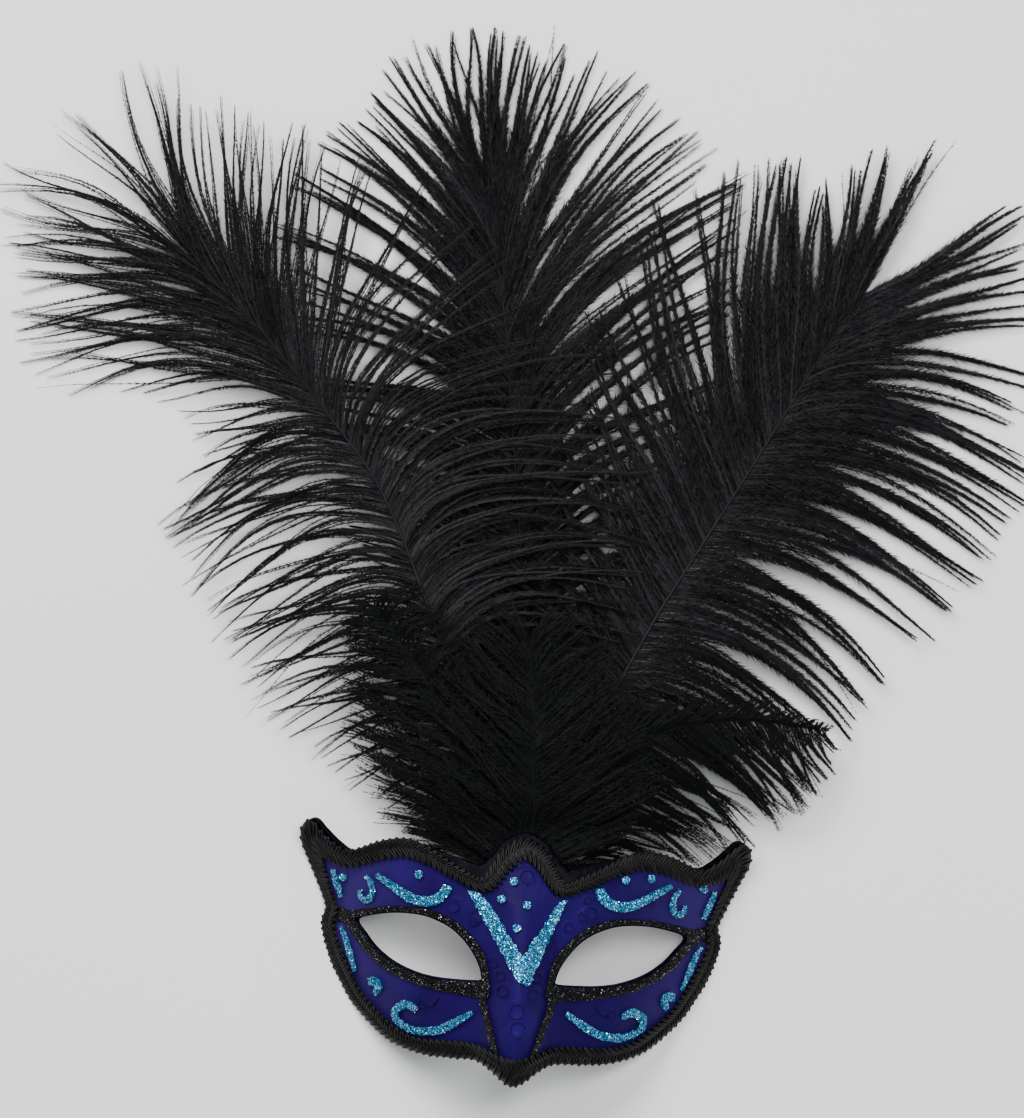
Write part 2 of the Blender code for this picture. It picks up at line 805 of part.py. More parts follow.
def shaft_points(feather, kind):
    """A shaft's middle on the plan, sampled closely from where it leaves the mask to its tip."""
    rows = [(across * kind["unit"], kind["root"] + up * kind["unit"]) for across, up in feather["shaft"]]
    return spline([(feather["root"] * kind["spacing"], kind["root"])] + rows, 12)


def at_share(points, shares):
    """Points at shares of a path's length."""
    steps = np.linalg.norm(np.diff(points, axis=0), axis=1)
    way = np.concatenate([[0], np.cumsum(steps)])
    way /= way[-1]
    return np.stack([np.interp(shares, way, points[:, k]) for k in (0, 1)], axis=-1)


def smooth_step(value):
    value = np.clip(value, 0.0, 1.0)
    return value * value * (3 - 2 * value)


def plume_height(plume, x, y):
    """Height of a plume's middle face. Each plume has its own layer, so that they don't meet."""
    table = np.array(LAYERS)
    base = np.interp(y, table[:, 0], table[:, 1])
    step = np.interp(y, table[:, 0], table[:, 2])
    height = base + plume["layer"] * step
    if plume["root"] == 0:
        return height
    shaft = shaft_points(plume, PLUME_KIND)
    outward = (x - np.interp(y, shaft[:, 1], shaft[:, 0])) * plume["root"]
    kept = DROOP_LEFT_OVER * (1 - smooth_step((y - 0.10) / 0.10))
    droop = smooth_step(outward / DROOP_REACH) * (1 - kept)
    least = table[-1, 1]
    return least + (height - least) * (1 - droop)


def feather_height(feather, x, y):
    """Height of a plume's middle face, or of a tuft's, which lies above its plume's."""
    if "over" not in feather:
        return plume_height(feather, x, y)
    plume = PLUMES[feather["over"]]
    table = np.array(LAYERS)
    step = np.interp(y, table[:, 0], table[:, 2])
    return plume_height(plume, x, y) + (feather["layer"] - plume["layer"]) * step


def barb(start, tip, along, turn, share):
    """A point on a barb, which leaves the shaft at BARB_ANGLE and bends towards its tip."""
    cos, sin = math.cos(turn), math.sin(turn)
    leaves = np.array([along[0] * cos - along[1] * sin, along[0] * sin + along[1] * cos])
    bend = start + leaves * BARB_BEND * np.linalg.norm(tip - start)
    return (1 - share) ** 2 * start + 2 * share * (1 - share) * bend + share**2 * tip


def feather_mesh(name, feather, kind):
    """A shaft with locks of barbs on both sides, all one flat sheet in the feather's layer."""
    shown = shaft_points(feather, kind)
    locks = kind["locks"]
    step = (LAST_LOCK - kind["first_lock"]) / locks
    stations = [0.0]
    for k in range(locks):
        start = kind["first_lock"] + k * step
        stations += [start, start + LOCK_FILL * step]
    stations.append(1.0)
    middle = np.concatenate([[(shown[0, 0], QUILL_START)], at_share(shown, stations)])
    along = np.gradient(middle, axis=0)
    along /= np.linalg.norm(along, axis=1, keepdims=True)
    square = np.stack([-along[:, 1], along[:, 0]], axis=1)
    half = np.linspace(QUILL_WIDTH, QUILL_TIP_WIDTH, len(middle))[:, None] / 2
    edges = {"left": middle + square * half, "right": middle - square * half}
    bm = bmesh.new()

    def vertex(point):
        x, y = point
        return bm.verts.new((x, y, float(feather_height(feather, x, y))))

    rows = {side: [vertex(point) for point in edges[side]] for side in edges}
    for k in range(len(middle) - 1):
        bm.faces.new((rows["left"][k], rows["right"][k], rows["right"][k + 1], rows["left"][k + 1]))
    for side, turn in (("left", BARB_ANGLE), ("right", -BARB_ANGLE)):
        table = np.array(feather[side])
        for k in range(locks):
            ends = []
            for station in (2 * k + 1, 2 * k + 2):
                tip = [np.interp(stations[station], table[:, 0], table[:, c]) for c in (1, 2)]
                tip = np.array(tip) * kind["unit"] + [0, kind["root"]]
                ends.append((edges[side][station + 1], tip, along[station + 1]))
            last_pair = (rows[side][2 * k + 2], rows[side][2 * k + 3])
            for row in range(1, LOCK_STEPS + 1):
                share = row / LOCK_STEPS
                points = [barb(*end, turn, share) for end in ends]
                centre = sum(points) / 2
                taper = 1 - LOCK_TAPER * share**TAPER_CURVE
                pair = tuple(vertex(centre + (point - centre) * taper) for point in points)
                bm.faces.new((last_pair[0], last_pair[1], pair[1], pair[0]))
                last_pair = pair
    return mesh_from(bm, name)


def build_feathers(pieces, materials):
    for kind in (PLUME_KIND, TUFT_KIND):
        for name, feather in kind["feathers"].items():
            made = feather_mesh(name, feather, kind)
            obj = new_object(name, made, materials[kind["material"]], pieces)
            body = obj.modifiers.new("body", "SOLIDIFY")
            body.thickness = kind["thick"]
            body.offset = 0


def build_patch(pieces, cutters, material):
    """The hidden pad under the forehead that holds the quills and the tufts' stems."""
    start = QUILL_START + PATCH_SET_IN
    xs = np.linspace(-PATCH_WIDTH / 2, PATCH_WIDTH / 2, PATCH_GRID[0])
    ys = np.linspace(start, start + PATCH_LENGTH, PATCH_GRID[1])
    bottom = LAYERS[0][1] - STRIP_THICK / 2 - SLOT_CLEARANCE - PATCH_WALL

    def under_shell(x, y):
        slant = surface_normal(np.array(x), np.array(y))[2]
        return surface(x, y) - (WALL / slant) - PATCH_GAP

    bm = bmesh.new()
    tops = [[bm.verts.new((x, y, float(under_shell(x, y)))) for x in xs] for y in ys]
    for low, high in zip(tops, tops[1:]):
        for k in range(len(xs) - 1):
            bm.faces.new((low[k], low[k + 1], high[k + 1], high[k]))
    edge = [item for item in bm.edges if item.is_boundary]
    skirt = bmesh.ops.extrude_edge_only(bm, edges=edge)["geom"]
    for item in skirt:
        if isinstance(item, bmesh.types.BMVert):
            item.co.z = bottom
    bmesh.ops.contextual_create(bm, geom=[item for item in bm.edges if item.is_boundary])
    patch = new_object("feather_patch", mesh_from(bm, "feather_patch"), material, pieces)
    for kind in (PLUME_KIND, TUFT_KIND):
        for name, feather in kind["feathers"].items():
            x = feather["root"] * kind["spacing"]
            z = float(feather_height(feather, x, QUILL_START))
            wide = QUILL_WIDTH / 2 + SLOT_CLEARANCE
            tall = kind["thick"] / 2 + SLOT_CLEARANCE
            slot = block(f"slot_{name}", (x - wide, 0.0, z - tall), (x + wide, MASK_HEIGHT, z + tall), cutters)
            boolean(patch, slot, "DIFFERENCE")


def put_origin_under_middle(pieces):
    """Moves everything so that the whole piece's box stands on the origin, around it."""
    bpy.context.view_layer.update()
    graph = bpy.context.evaluated_depsgraph_get()
    corners = []
    for obj in pieces.objects:
        evaluated = obj.evaluated_get(graph)
        place = np.array(obj.matrix_world)
        points = np.empty(3 * len(evaluated.data.vertices))
        evaluated.data.vertices.foreach_get("co", points)
        corners.append(points.reshape(-1, 3) @ place[:3, :3].T + place[:3, 3])
    corners = np.concatenate(corners)
    low, high = corners.min(axis=0), corners.max(axis=0)
    middle = (low + high) / 2
    for obj in bpy.data.objects:
        obj.location.x -= middle[0]
        obj.location.y -= middle[1]
        obj.location.z -= low[2]


def main():
    clear_scene()
    pieces = collection("masquerade_mask")
    cutters = collection("cutters")
    cutters.hide_render = True
    materials = {
        "shell": paint("royal blue paint", (0.016, 0.010, 0.26), 0.38),
        "braid": paint("black braid", (0.008, 0.008, 0.009), 0.75),
        "blue_glitter": paint("turquoise glitter", (0.02, 0.26, 0.55), 0.30, 0.6),
        "black_glitter": paint("black glitter", (0.010, 0.010, 0.016), 0.40, 0.3),
        "plume": paint("black ostrich plume", (0.004, 0.0035, 0.004), 0.65),
        "tuft": paint("black down", (0.004, 0.006, 0.006), 0.85),
        "patch": paint("black felt", (0.010, 0.010, 0.010), 0.95),
    }
    build_shell(pieces, cutters, materials["shell"])
    build_trims(pieces, materials)
    build_dots(pieces, materials["blue_glitter"])
    build_feathers(pieces, materials)
    build_patch(pieces, cutters, materials["patch"])
    for obj in cutters.objects:
        obj.hide_render = True
    put_origin_under_middle(pieces)


main()
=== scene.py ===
"""Looks of a masquerade half mask with three ostrich plumes, lying face up on a pale table.

Metres, +Z up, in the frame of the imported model. The tables of the mask's and the plumes'
shapes are those of the CAD, measured from the eye line and the middle of the mask.
"""

import math

import bpy
import mathutils
import numpy as np
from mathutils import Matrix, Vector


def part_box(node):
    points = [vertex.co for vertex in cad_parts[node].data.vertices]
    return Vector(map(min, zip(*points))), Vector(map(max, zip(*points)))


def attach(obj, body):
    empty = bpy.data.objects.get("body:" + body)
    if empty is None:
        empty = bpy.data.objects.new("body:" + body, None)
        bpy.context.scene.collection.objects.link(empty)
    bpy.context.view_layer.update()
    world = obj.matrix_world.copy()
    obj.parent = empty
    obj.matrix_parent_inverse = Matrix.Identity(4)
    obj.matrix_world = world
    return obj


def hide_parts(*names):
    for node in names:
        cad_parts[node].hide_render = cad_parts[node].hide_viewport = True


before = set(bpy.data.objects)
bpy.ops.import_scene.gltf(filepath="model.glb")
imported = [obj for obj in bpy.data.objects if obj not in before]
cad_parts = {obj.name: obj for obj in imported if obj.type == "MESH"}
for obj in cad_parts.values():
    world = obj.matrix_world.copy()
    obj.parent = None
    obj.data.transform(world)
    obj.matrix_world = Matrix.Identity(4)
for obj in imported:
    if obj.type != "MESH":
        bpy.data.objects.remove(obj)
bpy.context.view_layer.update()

MASK_WIDTH = 0.1764          # from horn tip to horn tip
MASK_HEIGHT = 0.1000         # from the tip under the nose to the forehead's peak
MASK_DEPTH = 0.0470          # from the table to the brow
WALL = 0.0015
NOSE_RISE = 0.0190           # nose ridge above the cheeks
NOSE_HALF_WIDTH = 0.0120
SOCKET_DENT = 0.0030         # how deep the eye sockets lie
SOCKET_RADIUS = 0.0220
EYE_ACROSS = 0.0390          # from the middle to the middle of an eye hole
EYE_UP = -0.0100
SIDE_CURVE = 2.4             # exponent of the curve from the middle to the temples
BRAID_WIDTH = 0.0080
BRAID_THICK = 0.0022
GLITTER_THICK = 0.0008
EYE_LIP = 0.0006             # bare shell between an eye hole and its border
DOT_RADIUS = 0.0016
GAP = 0.0005                 # between a trim and the shell under it
PLUME_LENGTH = 0.2900        # unit of the plume tables, the left shaft's length
PLUME_ROOT = 0.0380          # where the shafts leave the mask, above the eye line
TUFT_LENGTH = 0.0800         # unit of the tuft tables
TUFT_ROOT = 0.0280
BARB_BEND = 0.42             # how far a barb's bend lies along it
QUILL_SPACING = 0.0045
STEM_SPACING = 0.0092
HALF_WIDTH = MASK_WIDTH / 2

# Crown: up is a share of MASK_HEIGHT, height of MASK_DEPTH, and reach of HALF_WIDTH, where
# the surface would meet the table.
CROWN = (
    # up, height, reach
    (-0.68, 0.68, 0.50), (-0.45, 0.80, 0.632), (-0.34, 0.87, 0.706), (-0.25, 0.93, 0.764),
    (-0.17, 0.96, 0.809), (-0.07, 0.99, 0.845), (0.03, 1.00, 0.853), (0.10, 1.00, 0.880),
    (0.20, 0.98, 0.932), (0.36, 0.88, 1.060), (0.46, 0.80, 1.140),
)

# Nose: rise is a share of NOSE_RISE and half_width of NOSE_HALF_WIDTH.
NOSE = (
    # up, rise, half_width
    (-0.68, 0.78, 0.80), (-0.55, 0.96, 0.92), (-0.44, 1.00, 1.00), (-0.30, 0.80, 1.00),
    (-0.15, 0.55, 0.86), (0.00, 0.34, 0.80), (0.15, 0.12, 0.76), (0.30, 0.00, 0.72),
    (0.46, 0.00, 0.72),
)

# Braid, from the forehead's peak round the right horn to the tip under the nose: the outer
# and the inner edge. bare is how far the shell shows beyond the braid, as a share of
# BRAID_WIDTH, and where it is negative the braid hangs over the shell's rim.
BRAID = (
    # outer across, outer up, inner across, inner up, bare
    (0.000, 0.348, 0.000, 0.250, 0.30), (0.090, 0.310, 0.061, 0.210, 0.30),
    (0.136, 0.250, 0.099, 0.164, 0.36), (0.185, 0.184, 0.159, 0.119, 0.62),
    (0.240, 0.196, 0.266, 0.146, 0.55), (0.351, 0.250, 0.376, 0.194, 0.22),
    (0.442, 0.296, 0.456, 0.222, -0.04), (0.533, 0.318, 0.528, 0.236, -0.12),
    (0.640, 0.302, 0.622, 0.222, -0.14), (0.773, 0.258, 0.762, 0.184, -0.14),
    (0.840, 0.282, 0.826, 0.192, -0.14), (0.906, 0.331, 0.864, 0.206, -0.14),
    (0.946, 0.366, 0.880, 0.214, -0.14), (0.982, 0.364, 0.886, 0.214, -0.14),
    (1.000, 0.322, 0.886, 0.206, -0.14), (0.990, 0.270, 0.880, 0.190, -0.14),
    (0.956, 0.212, 0.866, 0.158, -0.14), (0.889, 0.083, 0.827, 0.066, -0.14),
    (0.868, 0.028, 0.810, 0.024, -0.14), (0.882, -0.018, 0.818, -0.020, -0.14),
    (0.875, -0.070, 0.810, -0.076, -0.14), (0.837, -0.171, 0.766, -0.162, -0.14),
    (0.786, -0.256, 0.722, -0.236, -0.14), (0.722, -0.343, 0.669, -0.308, -0.14),
    (0.600, -0.450, 0.554, -0.402, -0.14), (0.505, -0.496, 0.466, -0.446, -0.14),
    (0.402, -0.522, 0.378, -0.457, -0.14), (0.281, -0.530, 0.270, -0.456, -0.14),
    (0.170, -0.534, 0.178, -0.462, -0.14), (0.098, -0.572, 0.102, -0.488, -0.14),
    (0.041, -0.614, 0.045, -0.508, -0.14), (0.000, -0.629, 0.000, -0.514, -0.14),
)

# Eye border: the eye hole's edge and the border's outer edge, from the outer corner over the
# brow to the inner corner and back under the eye.
EYE_BORDER = (
    # hole across, hole up, outer across, outer up
    (0.723, -0.011, 0.796, 0.004), (0.633, 0.013, 0.640, 0.040), (0.533, 0.023, 0.538, 0.049),
    (0.429, 0.017, 0.424, 0.046), (0.342, -0.009, 0.328, 0.022), (0.272, -0.049, 0.248, -0.022),
    (0.213, -0.108, 0.177, -0.086), (0.179, -0.161, 0.140, -0.150), (0.165, -0.200, 0.127, -0.226),
    (0.172, -0.217, 0.130, -0.286), (0.260, -0.221, 0.250, -0.280), (0.365, -0.217, 0.372, -0.266),
    (0.457, -0.202, 0.478, -0.242), (0.556, -0.167, 0.590, -0.200), (0.633, -0.119, 0.674, -0.142),
    (0.688, -0.063, 0.742, -0.071),
)

# The V of glitter between the brows: outer and inner edge, from the left arm's end to the
# point and up the right arm, which is the narrower one.
GLITTER_V = (
    # outer across, outer up, inner across, inner up
    (-0.247, 0.126, -0.196, 0.120), (-0.211, 0.068, -0.150, 0.088), (-0.154, -0.010, -0.095, 0.024),
    (-0.073, -0.125, -0.034, -0.056), (-0.011, -0.210, 0.005, -0.105),
    (0.029, -0.236, 0.010, -0.111), (0.059, -0.220, 0.015, -0.105), (0.100, -0.118, 0.050, -0.054),
    (0.142, -0.018, 0.100, 0.016), (0.181, 0.072, 0.146, 0.086), (0.196, 0.106, 0.176, 0.108),
)

# Raised lines of glitter on the left half, with across turned positive: the middle of the
# line, and its width as a share of BRAID_WIDTH. The right half mirrors them, moved a little
# as RIGHT_SHIFT says, since the maker drew them by hand.
GLITTER_LINES = {
    "glitter_brow": (
        # across, up, width
        (0.650, 0.166, 0.22), (0.590, 0.134, 0.36), (0.516, 0.094, 0.44), (0.449, 0.074, 0.48),
        (0.386, 0.082, 0.50), (0.344, 0.114, 0.50), (0.336, 0.140, 0.40),
    ),
    "glitter_curl": (
        (0.695, 0.160, 0.22), (0.673, 0.134, 0.26), (0.664, 0.094, 0.30), (0.684, 0.064, 0.30),
        (0.713, 0.074, 0.26), (0.719, 0.100, 0.20),
    ),
    "glitter_cheek": (
        (0.440, -0.350, 0.30), (0.478, -0.330, 0.40), (0.515, -0.340, 0.42), (0.536, -0.366, 0.38),
        (0.522, -0.396, 0.34), (0.478, -0.420, 0.34), (0.418, -0.431, 0.38), (0.335, -0.420, 0.40),
        (0.264, -0.386, 0.38), (0.196, -0.346, 0.24),
    ),
    "glitter_comma": (
        (0.632, -0.298, 0.26), (0.613, -0.275, 0.38), (0.628, -0.250, 0.46), (0.658, -0.252, 0.36),
    ),
    "glitter_side": (
        (0.796, -0.044, 0.16), (0.771, -0.086, 0.28), (0.747, -0.146, 0.30), (0.721, -0.212, 0.18),
    ),
    "glitter_temple": (
        (0.840, 0.176, 0.22), (0.832, 0.145, 0.30), (0.814, 0.105, 0.30), (0.800, 0.070, 0.20),
    ),
}
RIGHT_SHIFT = {
    # across, up
    "glitter_brow": (0.0, 0.020),
    "glitter_curl": (-0.006, 0.010),
    "glitter_cheek": (0.024, 0.016),
    "glitter_comma": (0.032, 0.004),
    "glitter_side": (0.0, -0.004),
    "glitter_temple": (0.0, -0.006),
}

# Black glitter down each side of the nose.
NOSE_LINE = (
    # across, up, width
    (0.150, -0.306, 0.40), (0.135, -0.350, 0.36), (0.118, -0.400, 0.34), (0.098, -0.460, 0.30),
)

# Single dots of glitter.
DOTS = (
    # across, up
    (-0.045, 0.172), (-0.094, 0.100), (0.020, 0.082), (-0.020, -0.008), (-0.462, 0.176),
    (0.447, 0.198), (0.560, 0.208),
)

# Curls cast in the shell: where each winds, which way it opens, in turns, and its radius as
# a share of BRAID_WIDTH.
RELIEF = (
    # across, up, opens, radius
    (-0.300, 0.062, 0.10, 0.36), (0.300, 0.062, 0.40, 0.36), (0.010, 0.190, 0.75, 0.36),
    (0.206, 0.004, 0.60, 0.24), (-0.210, 0.004, 0.90, 0.24), (0.000, -0.330, 0.25, 0.44),
    (0.420, -0.330, 0.00, 0.24), (-0.420, -0.330, 0.50, 0.24),
)
RELIEF_RISE = 0.0005
RELIEF_WIDTH = 0.0008

# Plumes: shaft is the shaft's middle, and left and right list where the barbs' tips lie for
# shares of the way up the shaft. Lengths are shares of PLUME_LENGTH, from PLUME_ROOT. root is
# -1, 0 or 1 for the quill's side, and layer counts up from the lowest plume.
PLUMES = {
    "plume_left": {
        "root": -1,
        "layer": 2,
        "shaft": (
            # across, up
            (-0.022, 0.02), (-0.06, 0.10), (-0.12, 0.22), (-0.18, 0.36), (-0.23, 0.455),
            (-0.30, 0.54), (-0.395, 0.647), (-0.49, 0.735), (-0.57, 0.82),
        ),
        "left": (
            # way up the shaft, tip across, tip up
            (0.09, -0.155, 0.000), (0.15, -0.25, 0.07), (0.22, -0.33, 0.11), (0.32, -0.395, 0.20),
            (0.43, -0.43, 0.265), (0.52, -0.51, 0.35), (0.59, -0.485, 0.41), (0.63, -0.45, 0.49),
            (0.66, -0.52, 0.545), (0.70, -0.658, 0.576), (0.74, -0.700, 0.611),
            (0.79, -0.700, 0.647), (0.85, -0.735, 0.694), (0.92, -0.722, 0.760),
            (0.96, -0.735, 0.779), (0.98, -0.731, 0.832), (1.00, -0.705, 0.870),
        ),
        "right": (
            (0.09, 0.05, 0.06), (0.15, 0.065, 0.10), (0.21, 0.09, 0.165), (0.28, 0.125, 0.31),
            (0.38, 0.125, 0.39), (0.47, 0.11, 0.52), (0.52, 0.075, 0.60), (0.57, -0.03, 0.74),
            (0.61, -0.12, 0.80), (0.66, -0.225, 0.86), (0.71, -0.33, 0.895), (0.77, -0.39, 0.90),
            (0.83, -0.432, 0.925), (0.89, -0.503, 0.929), (0.94, -0.573, 0.972),
            (0.96, -0.606, 0.970), (0.98, -0.655, 0.925), (1.00, -0.690, 0.890),
        ),
    },
    "plume_center": {
        "root": 0,
        "layer": 0,
        "shaft": (
            (0.0, 0.02), (-0.008, 0.17), (-0.027, 0.355), (-0.05, 0.54), (-0.073, 0.71),
            (-0.105, 0.872), (-0.131, 0.983),
        ),
        "left": (
            (0.12, -0.10, 0.13), (0.30, -0.24, 0.36), (0.45, -0.31, 0.50), (0.56, -0.34, 0.605),
            (0.66, -0.37, 0.79), (0.76, -0.32, 0.903), (0.84, -0.268, 0.940), (0.89, -0.265, 0.973),
            (0.93, -0.227, 1.016), (0.96, -0.190, 1.047), (1.00, -0.140, 1.062),
        ),
        "right": (
            (0.12, 0.10, 0.13), (0.30, 0.19, 0.34), (0.42, 0.22, 0.56), (0.52, 0.235, 0.76),
            (0.62, 0.228, 0.889), (0.66, 0.187, 0.905), (0.70, 0.160, 0.944), (0.765, 0.107, 0.985),
            (0.81, 0.043, 1.016), (0.86, -0.026, 1.029), (0.92, -0.065, 1.051),
            (1.00, -0.138, 1.062),
        ),
    },
    "plume_right": {
        "root": 1,
        "layer": 1,
        "shaft": (
            (0.022, 0.02), (0.06, 0.085), (0.114, 0.203), (0.162, 0.30), (0.228, 0.417),
            (0.297, 0.54), (0.347, 0.633), (0.407, 0.731), (0.483, 0.834),
        ),
        "left": (
            (0.12, -0.04, 0.13), (0.25, -0.06, 0.32), (0.39, 0.03, 0.54), (0.48, 0.06, 0.70),
            (0.53, 0.10, 0.80), (0.58, 0.16, 0.86), (0.63, 0.237, 0.891), (0.70, 0.281, 0.891),
            (0.76, 0.303, 0.904), (0.80, 0.335, 0.860), (0.84, 0.352, 0.832), (0.87, 0.371, 0.912),
            (0.90, 0.405, 0.924), (0.94, 0.437, 0.932), (0.97, 0.489, 0.910), (1.00, 0.505, 0.938),
        ),
        "right": (
            (0.09, 0.20, 0.00), (0.15, 0.255, 0.03), (0.20, 0.315, 0.045), (0.31, 0.405, 0.10),
            (0.41, 0.435, 0.19), (0.52, 0.54, 0.325), (0.64, 0.605, 0.41), (0.68, 0.620, 0.46),
            (0.73, 0.634, 0.494), (0.77, 0.620, 0.537), (0.81, 0.640, 0.60), (0.85, 0.655, 0.70),
            (0.89, 0.650, 0.76), (0.93, 0.620, 0.80), (0.96, 0.613, 0.837), (1.00, 0.589, 0.871),
        ),
    },
}

# Tufts of soft short feathers over the plumes' roots, as shares of TUFT_LENGTH, from
# TUFT_ROOT. Each lies over one plume.
TUFTS = {
    "tuft_left": {
        "root": -1,
        "over": "plume_left",
        "layer": 3,
        "shaft": ((-0.12, 0.10), (-0.26, 0.42), (-0.50, 0.78), (-0.80, 1.16)),
        "left": (
            (0.02, -0.56, 0.05), (0.06, -0.66, 0.14), (0.12, -0.74, 0.28), (0.20, -0.80, 0.40),
            (0.35, -0.84, 0.56), (0.70, -0.92, 0.84), (1.00, -0.96, 1.18),
        ),
        "right": (
            (0.05, -0.04, 0.34), (0.35, -0.08, 0.58), (0.70, -0.30, 0.98), (1.00, -0.62, 1.28),
        ),
    },
    "tuft_center": {
        "root": 0,
        "over": "plume_center",
        "layer": 4,
        "shaft": ((0.0, 0.10), (0.02, 0.42), (0.0, 0.74), (-0.04, 1.04)),
        "left": (
            (0.02, -0.45, 0.12), (0.10, -0.50, 0.35), (0.35, -0.50, 0.72), (0.70, -0.40, 1.00),
            (1.00, -0.18, 1.25),
        ),
        "right": (
            (0.02, 0.50, 0.12), (0.10, 0.56, 0.35), (0.35, 0.50, 0.72), (0.70, 0.38, 1.00),
            (1.00, 0.10, 1.25),
        ),
    },
    "tuft_right": {
        "root": 1,
        "over": "plume_right",
        "layer": 3,
        "shaft": ((0.12, 0.10), (0.30, 0.40), (0.62, 0.62), (1.02, 0.70), (1.42, 0.67)),
        "left": (
            (0.05, 0.04, 0.34), (0.35, 0.44, 0.74), (0.70, 1.06, 0.82), (1.00, 1.46, 0.70),
        ),
        "right": (
            (0.02, 0.50, 0.02), (0.08, 0.647, 0.03), (0.16, 0.772, 0.09), (0.25, 0.879, 0.06),
            (0.38, 1.00, 0.13), (0.50, 1.104, 0.19), (0.65, 1.22, 0.24), (0.80, 1.337, 0.28),
            (0.92, 1.44, 0.42), (1.00, 1.50, 0.60),
        ),
    },
}

# Height of the lowest plume's middle and the step up to each next layer.
LAYERS = (
    # above the eye line, height, step
    (0.038, 0.0280, 0.0022), (0.044, 0.0286, 0.0028), (0.050, 0.0288, 0.0034),
    (0.070, 0.0262, 0.0044), (0.100, 0.0200, 0.0050), (0.150, 0.0110, 0.0055),
    (0.200, 0.0055, 0.0045), (0.250, 0.0025, 0.0034), (0.300, 0.0012, 0.0030),
    (0.345, 0.0010, 0.0030),
)
DROOP_REACH = 0.0750         # sideways from a shaft to where its outer barbs have sunk
DROOP_LEFT_OVER = 0.25       # share of the height that they keep beside the mask
DROOP_FROM = 0.10            # above the eye line, where they begin to lose that too
DROOP_OVER = 0.10

# More curls cast in the shell, and a faint line on each cheek, which only the look has.
MORE_RELIEF = (
    # across, up, opens, radius
    (-0.197, 0.030, 0.20, 0.40), (-0.130, -0.010, 0.60, 0.28), (-0.082, -0.197, 0.40, 0.28),
    (-0.068, -0.258, 0.90, 0.32), (-0.112, -0.150, 0.10, 0.26), (0.127, -0.062, 0.70, 0.28),
    (0.166, -0.098, 0.10, 0.24), (0.270, 0.048, 0.20, 0.26), (0.284, 0.112, 0.50, 0.20),
    (0.085, -0.200, 0.00, 0.28), (0.070, -0.262, 0.40, 0.30), (0.007, -0.402, 0.75, 0.42),
    (-0.030, 0.235, 0.20, 0.24), (0.560, 0.110, 0.80, 0.22), (-0.360, 0.120, 0.30, 0.20),
)
RELIEF_LINE = ((0.345, -0.296), (0.372, -0.330), (0.400, -0.328), (0.436, -0.300))
CURL_TURNS = 1.25            # how far round a curl winds
CURL_INNER = 0.66            # its last radius as a share of its first
CURL_STEPS = 60
CREASE_RADIUS = 0.00022
CREASE_STEPS = 22
SHELL_CELL = 0.00100         # between the points of the shell's mesh
DARK_LIP = 0.0012            # how far round an eye hole the paint is dark
SHELL_LUMPS = ((0.00012, 0.012, 3), (0.00005, 0.004, 4))     # height, size, seed

# Seeds of the random draws, the feathers' counted up from theirs.
BRAID_SEED = 11
GLITTER_SEED = 21
BLACK_SEED = 31
PLUME_SEED = 100
TUFT_SEED = 200

# Points that a curve gets to each span of its table.
EDGE_STEPS = 10
RIM_STEPS = 9
HOLE_STEPS = 8
SHAFT_STEPS = 12

# Black lines carried on from the CAD's: the nose line up to the border and down to the braid,
# and the border's outer corner to the braid.
NOSE_LINE_TOP = ((0.148, -0.262, 0.46),)
NOSE_LINE_FOOT = ((0.080, -0.505, 0.28), (0.072, -0.540, 0.26))
EYE_CORNER = (
    # across, up, width
    (0.730, -0.008, 0.35), (0.765, -0.002, 0.55), (0.805, 0.003, 0.70), (0.860, 0.008, 0.75),
)
MORE_DOTS = ((-0.795, 0.148), (0.793, 0.180))

# Braid. Thickness and heights are shares of BRAID_THICK, lean, open and offset of the pitch,
# and the loops' start and reach of half the braid's width.
BASE_INSET = 0.06            # of the base from each edge, as a share of the braid's width
BASE_THICK = 0.55
LOOP_PITCH = 0.0025
LOOP_POINTS = 15
LOOP_LEAN = 0.85             # how far along the braid a loop leans
LOOP_OPEN = 0.62             # between a loop's two ends
LOOP_OFFSET = 0.25           # of one row against the other
LOOP_START = 0.035
LOOP_REACH = 0.89
LOOP_HEIGHTS = (0.46, 0.26, 0.10)                            # least, rise, fall outwards
YARN_RADIUS = 0.00047

# Glue lines and their flakes: density is flakes a square metre, edge the share of the strip
# that has none at each side, tilt how far flakes lean, and proud how far they stand out.
TRIM_STEP = 0.0004
BLACK_STEP = 0.0005
STRIP_CROWN = 0.6            # share of a line's thickness that its dome takes
LUMP_SIZE = 0.0016
FLAKES_A_DOT = 150
TURQUOISE_LOOK = {"size": 0.00036, "density": 19e6, "edge": 0.0, "tilt": 0.36, "proud": 0.00025}
BLACK_LOOK = {"size": 0.00026, "density": 8e6, "edge": 0.04, "tilt": 0.4, "proud": 0.0002}

